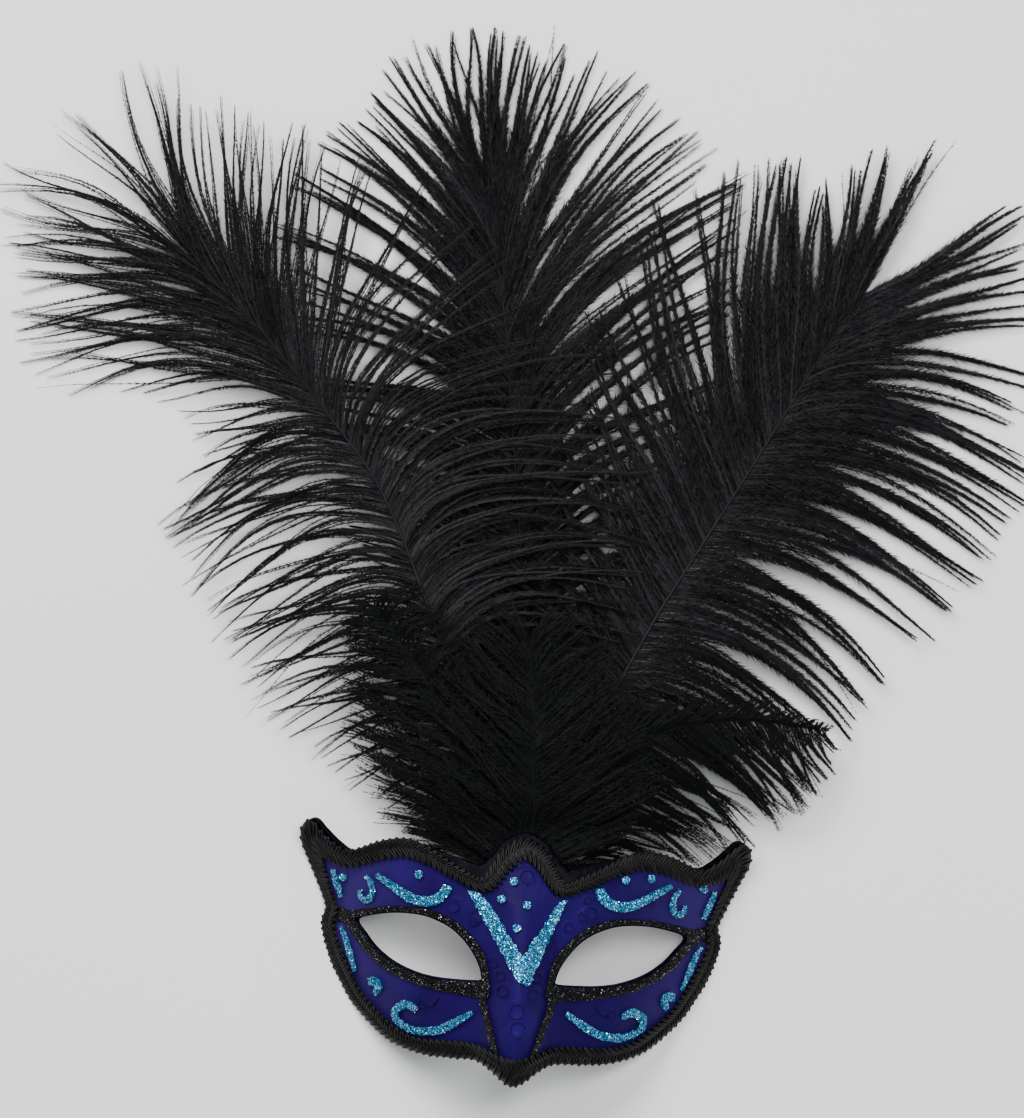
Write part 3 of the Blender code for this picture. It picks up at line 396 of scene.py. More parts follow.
# Colours, as places on a ramp and what they show.
PAINT_COLOURS = (
    (0.25, (0.0078, 0.0018, 0.042)),
    (0.55, (0.0090, 0.0022, 0.058)),
    (0.8, (0.0115, 0.0026, 0.080)),
)
# Painted purple sheen on the paint towards the temples, where the sides face the light.
TEMPLE_SHEEN_COLOUR = (0.0300, 0.0160, 0.1150)
SHEEN_FROM = 0.036          # sideways from the middle, where the painted sheen towards the temples begins
SHEEN_TO = 0.084
# Painted shade on the shell's rim beyond the braid and in the cast creases, and the black paint of the
# lip round each eye hole.
SHADE_AND_LIP_COLOUR = (0.0008, 0.0006, 0.0030)
YARN_COLOURS = ((0.14, (0.0003, 0.0003, 0.0003)), (0.64, (0.0095, 0.0078, 0.0082)))
GLUE_BLUES = ((0.2, (0.002, 0.035, 0.10)), (0.9, (0.01, 0.18, 0.38)))
GLUE_BLACKS = ((0.2, (0.0008, 0.0006, 0.0008)), (0.9, (0.008, 0.007, 0.008)))
FLAKE_BLUES = (
    (0.0, (0.0, 0.035, 0.10)),
    (0.4, (0.006, 0.20, 0.44)),
    (0.78, (0.03, 0.46, 0.80)),
    (0.93, (0.60, 0.95, 1.0)),
)
FLAKE_BLACKS = (
    (0.0, (0.003, 0.0025, 0.003)),
    (0.65, (0.011, 0.009, 0.010)),
    (0.96, (0.6, 0.6, 0.65)),
)
PLUME_BLACKS = ((0.05, (0.0003, 0.0002, 0.0003)), (0.6, (0.0088, 0.0074, 0.0102)))
DOWN_BLACKS = ((0.05, (0.0002, 0.0003, 0.0003)), (0.6, (0.0016, 0.0024, 0.0025)))
FLOOR_COLOURS = ((0.35, (0.74, 0.74, 0.73)), (0.65, (0.77, 0.77, 0.76)))

# Feather looks, in metres, radians and shares of the shaft's or the barb's length.
PLUME_LOOK = {
    "unit": PLUME_LENGTH,
    "root": PLUME_ROOT,
    "spacing": QUILL_SPACING,
    "from": 0.03,            # where on the shaft the barbs begin
    "crowd": 1.0,            # above 1, they stand closer towards the root
    "fold": 0.12,            # how far below its tip the shaft's last barbs start
    "pitch": 0.00045,        # along the shaft from barb to barb
    "strand": (3, 11),       # barbs that hold together, from and up to
    "lock": (2, 5),          # strands that lie together
    "gather": 0.84,          # how far a strand's barbs draw in
    "together": 0.12,        # where on the barb that begins
    "locked": 0.5,           # how far a lock's strands draw in
    "uneven": 0.045,         # how the strands differ in length
    "short": 0.10,           # how its barbs do
    "swing": 0.030,          # how the strands differ in direction
    "stray": 0.015,          # barbs that leave their strand
    "steps": 12,
    "arch": 0.0030,          # rise of a barb's middle
    "spread": 0.0012,        # how the barbs differ in height
    "top": 0.0050,           # how far above the plume's middle they may come
    "wide": 0.00054,         # a barb at its root
    "full": 0.0,             # how much wider the lowest barbs are
    "hair_wide": 0.00034,
    "hair_pitch": 0.00116,
    "hair_from": 0.01,       # where on the barb the hairs begin
    "lean": 0.42,            # between a hair and its barb
    "tip_hair": 0.12,        # the last hairs' length as a share of the others'
    "shaft": 0.0009,         # radius at the root
}
STRAY_SWING = 0.16           # how far a stray barb turns away
LEAVE_SPREAD = 0.06
BEND_SPREAD = 0.04
WOBBLE = 0.0006              # of the fine wave that every barb has
BARB_LOWEST = 0.0006         # above the table
HAIR_LOWEST = 0.0003
HAIR_VIEW = 0.0015           # how far each way a hair follows its barb's direction
HAIR_TILT = 0.55
HAIR_LEAN_SPREAD = 0.16
QUILL_INSIDE = 0.012         # how far a quill runs in under the mask
SHAFT_POINTS = 70
SHAFT_TIP = 0.22             # radius at the tip as a share of that at the root

# What each side has of its own: also the hairs' length, the degrees at which the barbs leave
# the shaft at its root and tip, and how far they wave.
SIDES = {
    "plume_left_left": {
        "hair": 0.0023, "leave": (46, 6), "wave": 0.075, "gather": 0.87, "together": 0.22,
        "strand": (3, 8), "swing": 0.055, "locked": 0.30, "short": 0.07,
    },
    "plume_left_right": {
        "hair": 0.0024, "leave": (46, 10), "wave": 0.045, "gather": 0.87, "together": 0.2,
        "strand": (3, 10), "swing": 0.05, "locked": 0.35, "full": 1.3,
    },
    "plume_center_left": {
        "hair": 0.0038, "leave": (50, 14), "wave": 0.034, "swing": 0.045, "full": 1.6,
    },
    "plume_center_right": {
        "hair": 0.0044, "leave": (38, 10), "wave": 0.040, "swing": 0.050, "full": 1.6,
    },
    "plume_right_left": {
        "hair": 0.0047, "leave": (62, 16), "wave": 0.034, "swing": 0.040, "full": 1.3,
    },
    "plume_right_right": {"hair": 0.0052, "leave": (58, 26), "wave": 0.030, "locked": 0.6},
    "tuft_right_left": {"hair": 0.0022, "leave": (40, 16), "wave": 0.01, "swing": 0.04},
    "tuft_right_right": {
        "hair": 0.0023, "leave": (50, 62), "gather": 0.8, "strand": (4, 10), "short": 0.16,
        "wide": 0.00042, "hair_wide": 0.00034, "crowd": 1.3,
    },
}
TUFT_LOOK = {
    **PLUME_LOOK, "unit": TUFT_LENGTH, "root": TUFT_ROOT, "spacing": STEM_SPACING, "from": 0.0,
    "crowd": 1.6, "fold": 0.0, "hair": 0.0032, "leave": (50, 30), "wave": 0.03,
    "pitch": 0.00036, "steps": 9, "strand": (2, 9), "gather": 0.5, "locked": 0.2,
    "uneven": 0.08, "short": 0.12, "swing": 0.10, "wide": 0.00052, "hair_wide": 0.00042,
    "tip_hair": 0.3, "shaft": 0.0005,
}

# Stage. The eye line is where the tables' zero lies in the frame: the braid's lowest point is
# 0.629 of MASK_HEIGHT below it.
BRAID_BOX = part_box("edge_braid")
EYE_LINE = np.array([
    (BRAID_BOX[0].x + BRAID_BOX[1].x) / 2, BRAID_BOX[0].y + 0.629 * MASK_HEIGHT, 0.0
])
FLOOR_Z = -0.0002            # just under what rests on it
FLOOR_REACH = 6.0
SKY_COLOUR = (0.93, 0.96, 1.0)
SKY_STRENGTH = 0.55
LIGHTS = (
    # name, place, size, power, colour
    ("window", (-0.7, 1.1, 1.5), (1.2, 0.9), 56.0, (1.0, 0.99, 0.985)),
    ("ceiling", (0.5, 0.4, 2.2), (0.5, 1.4), 40.0, (0.97, 0.98, 1.0)),
    ("fill", (1.3, -1.0, 1.3), (1.0, 1.0), 6.0, (0.95, 0.97, 1.0)),
)
CAMERA_HEIGHT = 15.0         # far off, as the photograph shows little perspective
VIEW_REACH = 60.0
VIEW_WIDTH = 0.3974
VIEW_MIDDLE = (-0.0035, 0.0050)
VIEW_TURN = 3.2              # degrees


def spline(points, steps, closed=False):
    """Points along a Catmull-Rom curve through the given ones, steps of them to each span."""
    points = np.asarray(points, float)
    count = len(points)
    found = []
    for span in range(count if closed else count - 1):
        near = [span - 1, span, span + 1, span + 2]
        if closed:
            a, b, c, d = (points[k % count] for k in near)
        else:
            a, b, c, d = (points[min(max(k, 0), count - 1)] for k in near)
        for step in range(steps):
            t = step / steps
            found.append(
                0.5 * (2 * b + (c - a) * t + (2 * a - 5 * b + 4 * c - d) * t**2
                       + (3 * b - a - 3 * c + d) * t**3)
            )
    if not closed:
        found.append(points[-1])
    return np.array(found)


def smooth_table(rows, where):
    """The other columns of a table, read smoothly at values of its first column."""
    fine = spline(rows, 8)
    return [np.interp(where, fine[:, 0], fine[:, column]) for column in range(1, fine.shape[1])]


def smooth_step(value):
    value = np.clip(value, 0.0, 1.0)
    return value * value * (3 - 2 * value)


def smooth_noise(points, size, seed):
    """A smooth value from -1 to 1 that changes over about size metres."""
    values = np.zeros(len(points))
    draw = np.random.default_rng(seed)
    for _ in range(5):
        way = draw.normal(size=points.shape[1])
        way *= 2 * math.pi / (size * np.linalg.norm(way)) * draw.uniform(0.6, 1.5)
        values += np.sin(points @ way + draw.uniform(0, 2 * math.pi))
    return values / 3


def normalized(vectors):
    return vectors / (np.linalg.norm(vectors, axis=-1, keepdims=True) + 1e-12)


def square_to(vectors):
    """Vectors of the plan turned a quarter to the left."""
    return np.stack([-vectors[:, 1], vectors[:, 0]], axis=1)


def turned(vectors, angles):
    """Vectors of the plan, each turned to the left by its own angle."""
    return vectors * np.cos(angles)[:, None] + square_to(vectors) * np.sin(angles)[:, None]


def side_and_over(along):
    """The level way across each direction, and the way square to both."""
    side = normalized(np.cross(along, np.array([0.0, 0.0, 1.0])))
    return side, np.cross(side, along)


def way_along(points):
    """How far along a path each of its points lies."""
    return np.concatenate([[0], np.cumsum(np.linalg.norm(np.diff(points, axis=0), axis=1))])


def read_at(points, way, at):
    """Points of a path where its way along has the values at."""
    return np.stack([np.interp(at, way, column) for column in points.T], axis=-1)


def at_share(points, shares):
    """Points at shares of a path's length."""
    way = way_along(points)
    return read_at(points, way / way[-1], shares)


def dome(shares):
    """Height of a round arch at shares of the way across it."""
    return np.sqrt(np.clip(1 - (2 * shares - 1) ** 2, 0, 1))


# The shell's face and the edges of what lies on it


def surface(x, y):
    """Height of the shell's outer face above the table."""
    height, reach = smooth_table(CROWN, y / MASK_HEIGHT)
    rise, half_width = smooth_table(NOSE, y / MASK_HEIGHT)
    side = np.minimum(np.abs(x) / (reach * HALF_WIDTH), 1.3)
    crown = MASK_DEPTH * height * (1 - side**SIDE_CURVE)
    nose = NOSE_RISE * rise * np.exp(-((x / (half_width * NOSE_HALF_WIDTH)) ** 2))
    away = (np.abs(x) - EYE_ACROSS) ** 2 + (y - EYE_UP) ** 2
    return crown + nose - SOCKET_DENT * np.exp(-away / SOCKET_RADIUS**2)


def surface_normal(x, y, step=0.0004):
    slope_x = (surface(x + step, y) - surface(x - step, y)) / (2 * step)
    slope_y = (surface(x, y + step) - surface(x, y - step)) / (2 * step)
    return normalized(np.stack([-slope_x, -slope_y, np.ones_like(slope_x)], axis=-1))


def feet(points, lift):
    """Where on the shell the points stand that, once lifted, are seen from above at these."""
    return points - lift * surface_normal(points[..., 0], points[..., 1])[..., :2]


def over_shell(points, lift):
    """Points of the plan, lifted square to the shell's outer face, and never into the table."""
    x, y = points[..., 0], points[..., 1]
    lifted = np.stack([x, y, surface(x, y)], axis=-1) + lift * surface_normal(x, y)
    lifted[..., 2] = np.maximum(lifted[..., 2], 0.0)
    return lifted


def plan(across, up):
    """Points of the plan from shares of HALF_WIDTH and MASK_HEIGHT."""
    return np.stack([np.asarray(across) * HALF_WIDTH, np.asarray(up) * MASK_HEIGHT], axis=-1)


def line_edges(rows, side, shift=(0.0, 0.0)):
    """Both edges of a raised line from rows of across, up and width."""
    fine = spline(rows, EDGE_STEPS)
    middle = plan((fine[:, 0] + shift[0]) * side, fine[:, 1] + shift[1])
    square = square_to(normalized(np.gradient(middle, axis=0)))
    half = (fine[:, 2] * BRAID_WIDTH / 2)[:, None]
    return middle + square * half, middle - square * half


def braid_edges(steps):
    """The braid's outer and inner edge and the shell's rim, once round, as points of the plan."""
    right = np.array(BRAID)
    left = right[-2:0:-1] * np.array([-1, 1, -1, 1, 1])
    fine = spline(np.concatenate([right, left]), steps, closed=True)
    outer = plan(fine[:, 0], fine[:, 1])
    inner = plan(fine[:, 2], fine[:, 3])
    outward = normalized(outer - inner)
    rim = feet(outer, GAP + BRAID_THICK) + outward * (fine[:, 4] * BRAID_WIDTH)[:, None]
    return outer, inner, rim


def eye_edges(side, steps):
    """An eye hole's edge and its border's two edges."""
    fine = spline(np.array(EYE_BORDER), steps, closed=True)
    hole = plan(fine[:, 0] * side, fine[:, 1])
    outer = plan(fine[:, 2] * side, fine[:, 3])
    return hole, hole + normalized(outer - hole) * EYE_LIP, outer


def resample(first, second, pitch, closed=False):
    """Both edges of a strip at even steps along its middle."""
    if closed:
        first, second = (np.concatenate([edge, edge[:1]]) for edge in (first, second))
    way = way_along((first + second) / 2)
    at = np.linspace(0, way[-1], max(int(way[-1] / pitch), 4) + 1)
    if closed:
        at = at[:-1]
    return [read_at(edge, way, at) for edge in (first, second)]


# Meshes


def mesh_piece(name, points, faces, materials, replaced, smooth=True, shade=None):
    """A piece from points around the eye line and faces with the same number of corners."""
    mesh = bpy.data.meshes.new(name)
    corners = faces.shape[1]
    mesh.vertices.add(len(points))
    mesh.vertices.foreach_set("co", (points + EYE_LINE).astype(np.float32).ravel())
    mesh.loops.add(faces.size)
    mesh.loops.foreach_set("vertex_index", faces.astype(np.int32).ravel())
    mesh.polygons.add(len(faces))
    mesh.polygons.foreach_set("loop_start", np.arange(0, faces.size, corners, dtype=np.int32))
    mesh.polygons.foreach_set("use_smooth", np.full(len(faces), smooth))
    mesh.update(calc_edges=True)
    if shade is not None:
        layer = mesh.attributes.new("shade", "FLOAT", "POINT")
        layer.data.foreach_set("value", shade.astype(np.float32))
    for material in materials:
        mesh.materials.append(material)
    piece = bpy.data.objects.new(name, mesh)
    bpy.context.scene.collection.objects.link(piece)
    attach(piece, "root")
    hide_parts(*replaced)
    return piece


def grid_faces(rows, columns, closed_rows=False, closed_columns=False):
    """Quads of a grid of points that is stored row after row."""
    r = np.arange(rows if closed_rows else rows - 1)
    c = np.arange(columns if closed_columns else columns - 1)
    r, c = np.meshgrid(r, c, indexing="ij")
    next_r, next_c = (r + 1) % rows, (c + 1) % columns
    corners = ((r, c), (r, next_c), (next_r, next_c), (next_r, c))
    return np.stack([row * columns + column for row, column in corners], axis=-1).reshape(-1, 4)


def repeated(faces, copies, size):
    """The faces once for each copy of size points."""
    return (faces[None] + (np.arange(copies) * size)[:, None, None]).reshape(-1, faces.shape[1])


def gather(parts):
    """Joins (points, faces) arrays into one pair."""
    points, faces, first = [], [], 0
    for some, quads in parts:
        points.append(some)
        faces.append(quads + first)
        first += len(some)
    return np.concatenate(points), np.concatenate(faces)


def tube(paths, radius, around):
    """Round strands along paths (strand, step, xyz), with one radius or one for each step."""
    strands, steps = paths.shape[:2]
    side, over = side_and_over(normalized(np.gradient(paths, axis=1)))
    turn = 2 * math.pi * np.arange(around) / around
    ring = side[:, :, None] * np.cos(turn)[:, None] + over[:, :, None] * np.sin(turn)[:, None]
    points = paths[:, :, None] + ring * np.broadcast_to(radius, (strands, steps))[:, :, None, None]
    faces = repeated(grid_faces(steps, around, closed_columns=True), strands, steps * around)
    return points.reshape(-1, 3), faces


def strip(first, second, columns, thick, lumps, seed, closed=False):
    """A domed strip between two edges of the plan, with a lumpy top and sides to the shell."""
    shares = np.linspace(0, 1, columns)
    spots = first[:, None] * (1 - shares)[:, None] + second[:, None] * shares[:, None]
    spots = spots.reshape(-1, 2)
    lift = np.tile(GAP + thick * (1 - STRIP_CROWN + STRIP_CROWN * dome(shares)), (len(first), 1))
    lift += lumps * smooth_noise(spots, LUMP_SIZE, seed).reshape(lift.shape)
    if not closed:
        ends = np.minimum(np.arange(len(first)), np.arange(len(first))[::-1])
        lift = GAP + (lift - GAP) * np.clip(ends / 3, 0, 1)[:, None] ** 0.5
    lift[:, 0] = lift[:, -1] = 0.0
    lifts = lift.ravel()[:, None]
    return over_shell(feet(spots, lifts), lifts), grid_faces(len(first), columns, closed_rows=closed)


# Materials


def material_nodes(name, **sockets):
    """A material, its tree and its shader, whose own sockets get the values that don't vary."""
    material = bpy.data.materials.new(name)
    material.use_nodes = True
    tree = material.node_tree
    shader = tree.nodes["Principled BSDF"]
    names = {"rough": "Roughness", "specular": "Specular IOR Level", "metal": "Metallic"}
    for socket, value in sockets.items():
        shader.inputs[names[socket]].default_value = value
    return material, tree, shader


def node(tree, kind, inputs=None, **settings):
    made = tree.nodes.new(kind)
    for key, value in settings.items():
        setattr(made, key, value)
    for key, value in (inputs or {}).items():
        if isinstance(value, bpy.types.NodeSocket):
            tree.links.new(value, made.inputs[key])
        else:
            made.inputs[key].default_value = value
    return made


def object_spot(tree):
    return node(tree, "ShaderNodeTexCoord").outputs["Object"]


def own_shade(tree):
    """The value that each point of the mesh carries."""
    return node(tree, "ShaderNodeAttribute", attribute_name="shade").outputs["Fac"]


def reckon(tree, operation, *values):
    return node(tree, "ShaderNodeMath", dict(enumerate(values)), operation=operation).outputs["Value"]


def noise(tree, scale, detail=3.0, roughness=0.5):
    inputs = {"Vector": object_spot(tree), "Scale": scale, "Detail": detail, "Roughness": roughness}
    return node(tree, "ShaderNodeTexNoise", inputs).outputs["Fac"]


def ramp(tree, value, stops):
    made = node(tree, "ShaderNodeValToRGB", {"Fac": value})
    elements = made.color_ramp.elements
    while len(elements) < len(stops):
        elements.new(0.5)
    for element, (place, colour) in zip(elements, stops):
        element.position = place
        element.color = (*colour, 1.0)
    return made.outputs["Color"]


def grey(value):
    return (value, value, value)


def mix(tree, factor, varied, fixed):
    """A varied colour that turns into a fixed one as the factor rises."""
    inputs = {0: factor, 6: varied, 7: (*fixed, 1.0)}
    return node(tree, "ShaderNodeMix", inputs, data_type="RGBA").outputs[2]


def bump(tree, height, strength, distance, normal=None):
    inputs = {"Height": height, "Strength": strength, "Distance": distance}
    if normal:
        inputs["Normal"] = normal
    return node(tree, "ShaderNodeBump", inputs).outputs["Normal"]


def link(tree, shader, **outputs):
    names = {"colour": "Base Color", "rough": "Roughness", "normal": "Normal"}
    for name, output in outputs.items():
        tree.links.new(output, shader.inputs[names[name]])


def blue_paint():
    """Paint with painted shade on the rim beyond the braid and in the creases, black round the eye
    holes, and a painted purple sheen towards the temples.
    """
    material, tree, shader = material_nodes("royal_blue_paint", specular=0.03)
    # The share of painted sheen, which grows sideways from the middle towards the temples.
    across = node(tree, "ShaderNodeSeparateXYZ", {"Vector": object_spot(tree)}).outputs["X"]
    across = reckon(tree, "ABSOLUTE", reckon(tree, "SUBTRACT", across, EYE_LINE[0]))
    inputs = {"Value": across, "From Min": SHEEN_FROM, "From Max": SHEEN_TO}
    outer = node(tree, "ShaderNodeMapRange", inputs).outputs["Result"]
    paint = mix(tree, outer, ramp(tree, noise(tree, 55.0, 4.0), PAINT_COLOURS), TEMPLE_SHEEN_COLOUR)
    grain = bump(tree, noise(tree, 900.0), 0.35, 0.00008)
    # The rim's painted shade and the eye holes' black lip, where the shade attribute is set.
    link(tree, shader,
         colour=mix(tree, own_shade(tree), paint, SHADE_AND_LIP_COLOUR),
         rough=ramp(tree, noise(tree, 160.0, 5.0), ((0.3, grey(0.34)), (0.7, grey(0.52)))),
         normal=bump(tree, noise(tree, 190.0), 0.5, 0.0003, grain))
    return material


def bare_plastic():
    material, tree, shader = material_nodes("bare_plastic", rough=0.5)
    link(tree, shader,
         colour=ramp(tree, noise(tree, 70.0), ((0.3, grey(0.13)), (0.7, grey(0.18)))),
         normal=bump(tree, noise(tree, 260.0), 0.3, 0.0002))
    return material


def yarn():
    material, tree, shader = material_nodes("black_braid", rough=0.5, specular=0.18)
    fibres = noise(tree, 1400.0, 4.0, 0.7)
    link(tree, shader,
         colour=ramp(tree, reckon(tree, "MULTIPLY", own_shade(tree), fibres), YARN_COLOURS),
         normal=bump(tree, fibres, 0.6, 0.0002))
    return material


def glue(name, colours, rough):
    """The lumpy clear glue with its smallest flakes, under the larger flakes."""
    material, tree, shader = material_nodes(name, rough=rough, specular=0.2, metal=0.5)
    cells = node(tree, "ShaderNodeTexVoronoi", {"Vector": object_spot(tree), "Scale": 3200.0})
    tint = node(tree, "ShaderNodeSeparateColor", {"Color": cells.outputs["Color"]}).outputs["Red"]
    link(tree, shader, colour=ramp(tree, tint, colours), normal=bump(tree, tint, 1.0, 0.0003))
    return material


def flake(name, colours, rough):
    material, tree, shader = material_nodes(name, rough=rough, metal=0.9)
    link(tree, shader, colour=ramp(tree, own_shade(tree), colours))
    return material


def barb_material(name, colours, rough):
    material, tree, shader = material_nodes(name, rough=rough, specular=0.12)
    patches = reckon(tree, "MULTIPLY", own_shade(tree), noise(tree, 90.0))
    link(tree, shader,
         colour=ramp(tree, patches, colours),
         normal=bump(tree, noise(tree, 1800.0, 2.0), 0.6, 0.0003))
    return material


def felt():
    material, tree, shader = material_nodes("black_felt", rough=0.95)
    link(tree, shader,
         colour=ramp(tree, noise(tree, 900.0, 5.0), ((0.3, grey(0.004)), (0.8, grey(0.02)))),
         normal=bump(tree, noise(tree, 1500.0), 0.8, 0.0003))
    return material


# Mask shell


def inside(points, outline):
    """Which points of the plan lie inside a closed outline."""
    found = np.zeros(len(points), bool)
    x, y = points[:, 0], points[:, 1]
    for (ax, ay), (bx, by) in zip(outline, np.roll(outline, -1, axis=0)):
        if ay == by:
            continue
        crosses = (ay > y) != (by > y)
        found ^= crosses & (x < (bx - ax) * (y - ay) / (by - ay) + ax)
    return found


def nearest(points, others):
    """Distance from each point of the plan to the nearest of some others."""
    tree = mathutils.kdtree.KDTree(len(others))
    for k, (x, y) in enumerate(others):
        tree.insert((x, y, 0.0), k)
    tree.balance()
    return np.array([tree.find((x, y, 0.0))[2] for x, y in points])


def curl_points():
    """The paths of the curls and lines cast in the shell."""
    found = []
    for across, up, opens, radius in RELIEF + MORE_RELIEF:
        turn = 2 * math.pi * (opens + np.linspace(0.0, CURL_TURNS, CURL_STEPS))
        reach = radius * BRAID_WIDTH * np.linspace(1.0, CURL_INNER, CURL_STEPS)
        found.append(plan(across, up) + np.stack([np.cos(turn), np.sin(turn)], axis=1) * reach[:, None])
    fine = spline(RELIEF_LINE, 14)
    return found + [plan(fine[:, 0] * side, fine[:, 1]) for side in (-1, 1)]


def shell_plan(rim, holes):
    """Points of the plan and triangles that fill the shell's rim round its eye holes."""
    def filled(points):
        return inside(points, rim) & ~inside(points, holes[0]) & ~inside(points, holes[1])

    low, high = rim.min(axis=0), rim.max(axis=0)
    xs, ys = np.arange(low[0], high[0], SHELL_CELL), np.arange(low[1], high[1], SHELL_CELL * 0.866)
    grid = np.stack(np.meshgrid(xs, ys), axis=-1)
    grid[1::2, :, 0] += SHELL_CELL / 2
    grid = grid.reshape(-1, 2)
    grid = grid[filled(grid)]
    edge_points = np.concatenate([rim] + holes)
    grid = grid[nearest(grid, edge_points) > 0.7 * SHELL_CELL]
    edges, first = [], 0
    for outline in [rim] + holes:
        count = len(outline)
        edges += [(first + k, first + (k + 1) % count) for k in range(count)]
        first += count
    spots = [mathutils.Vector(p) for p in np.concatenate([edge_points, grid])]
    found = mathutils.geometry.delaunay_2d_cdt(spots, edges, [], 0, 1e-7)
    flat = np.array([tuple(p) for p in found[0]])
    faces = np.array([f for f in found[2] if len(f) == 3])
    faces = faces[filled(flat[faces].mean(axis=1))]
    used, faces = np.unique(faces, return_inverse=True)
    faces = faces.reshape(-1, 3)
    flat = flat[used]
    a, b, c = (flat[faces[:, k]] for k in range(3))
    clockwise = (b - a)[:, 0] * (c - a)[:, 1] - (b - a)[:, 1] * (c - a)[:, 0] < 0
    faces[clockwise] = faces[clockwise][:, ::-1]
    return flat, faces


def rim_walls(faces, count):
    """Triangles from a sheet's open edges to those of its copy, count points further on."""
    sides = np.concatenate([faces[:, [0, 1]], faces[:, [1, 2]], faces[:, [2, 0]]])
    keys = {tuple(pair) for pair in sides.tolist()}
    p, q = np.array([pair for pair in keys if (pair[1], pair[0]) not in keys]).T
    return np.concatenate([np.stack([q, p, p + count], 1), np.stack([q, p + count, q + count], 1)])


def build_shell():
    holes = [eye_edges(side, HOLE_STEPS)[0] for side in (-1, 1)]
    flat, faces = shell_plan(braid_edges(RIM_STEPS)[2], holes)
    away = nearest(flat, np.concatenate(curl_points()))
    raised = RELIEF_RISE * np.clip(1.5 - np.abs(away) / (RELIEF_WIDTH * 0.62), 0, 1)
    raised += sum(height * smooth_noise(flat, size, seed) for height, size, seed in SHELL_LUMPS)
    top = over_shell(flat, 0.0)
    normal = surface_normal(flat[:, 0], flat[:, 1])
    sheets = np.concatenate([top + normal * raised[:, None], top - WALL * normal])
    sheets[:, 2] = np.maximum(sheets[:, 2], 0.0001)
    walls = rim_walls(faces, len(flat))
    everything = np.concatenate([faces, faces[:, ::-1] + len(flat), walls])
    outer, inner, _ = braid_edges(EDGE_STEPS)
    # Painted shade on the shell beyond the braid's middle line, and black paint on the lip round each
    # eye hole.
    rim_shade_and_lip = 1.0 - inside(flat, (outer + inner) / 2)
    rim_shade_and_lip = np.maximum(rim_shade_and_lip, nearest(flat, np.concatenate(holes)) < DARK_LIP)
    paint = blue_paint()
    shell = mesh_piece("shell", sheets, everything, (paint, bare_plastic()),
                       ("mask_shell",), shade=np.tile(rim_shade_and_lip, 2))
    sheet = np.arange(len(everything)) // len(faces)
    shell.data.polygons.foreach_set("material_index", (sheet == 1).astype(np.int32))
    shell.data.polygons.foreach_set("use_smooth", sheet < 2)
    # Thin tubes along the cast curls and cheek lines, with their paint mixed halfway to the rim's colour
    # as painted shade in the creases.
    lines = []
    for path in curl_points():
        path = path[np.linspace(0, len(path) - 1, CREASE_STEPS).astype(int)]
        points = over_shell(feet(path, RELIEF_RISE), 0.7 * RELIEF_RISE)
        lines.append(tube(points[None], CREASE_RADIUS, 5))
    points, faces = gather(lines)
    mesh_piece("crease_shade_lines", points, faces, (paint,), ("mask_shell",),
               shade=np.full(len(points), 0.5))


# Trims


def build_braid():
    """A flat base, and over it two rows of leaning yarn loops that start in the middle."""
    materials = (yarn(),)
    outer, inner, _ = braid_edges(EDGE_STEPS)
    first, second = resample(outer, inner, 2 * TRIM_STEP, closed=True)
    narrow = (first - second) * BASE_INSET
    thick = BASE_THICK * BRAID_THICK
    top, faces = strip(first - narrow, second + narrow, 7, thick, 0.0001, 7, closed=True)
    mesh_piece("braid_base", top, faces, materials, ("edge_braid",))
    outer, inner = resample(outer, inner, TRIM_STEP, closed=True)
    middle, across = (outer + inner) / 2, outer - inner
    count = len(middle)
    loops = int(round(count * TRIM_STEP / LOOP_PITCH))
    share = np.linspace(0, 1, LOOP_POINTS)
    bend = 1 - np.abs(2 * share - 1) ** 2.2
    forward = (share * LOOP_OPEN + LOOP_LEAN * bend) / loops
    paths, radii = [], []
    draw = np.random.default_rng(BRAID_SEED)
    least, rise, fall = LOOP_HEIGHTS
    for side in (-0.5, 0.5):
        for k in range(loops):
            start = (k + (LOOP_OFFSET if side > 0 else 0.0)) / loops
            out = LOOP_START + (LOOP_REACH + draw.uniform(-0.03, 0.03)) * bend
            at = ((start + forward) * count) % count
            low = at.astype(int)
            part = (at - low)[:, None]
            high = (low + 1) % count
            centre, wide = (row[low] * (1 - part) + row[high] * part for row in (middle, across))
            spots = centre + wide * (side * out)[:, None]
            height = least + rise * np.sin(math.pi * np.clip(out, 0, 1)) - fall * out
            lift = (GAP + BRAID_THICK * height)[:, None]
            paths.append(over_shell(feet(spots, lift), lift))
            radii.append(YARN_RADIUS * (1 + 0.08 * draw.normal()) * (0.8 + 0.2 * bend))
    points, faces = tube(np.array(paths), np.array(radii), 5)
    shade = np.repeat(draw.random(len(paths)), len(share) * 5)
    mesh_piece("braid_loops", points, faces, materials, ("edge_braid",), shade=shade)


def scatter(first, second, count, draw, edge=0.0):
    """Random points of the plan between two edges, and their shares of the way across."""
    width = np.linalg.norm(first - second, axis=1)
    length = np.linalg.norm(np.gradient((first + second) / 2, axis=0), axis=1)
    weight = width * length
    row = draw.choice(len(first), count, p=weight / weight.sum())
    across = draw.uniform(edge, 1 - edge, count)[:, None]
    step = np.minimum(row + 1, len(first) - 1)
    part = draw.random(count)[:, None]
    one, two = (side[row] * (1 - part) + side[step] * part for side in (first, second))
    return one * (1 - across) + two * across, across[:, 0]


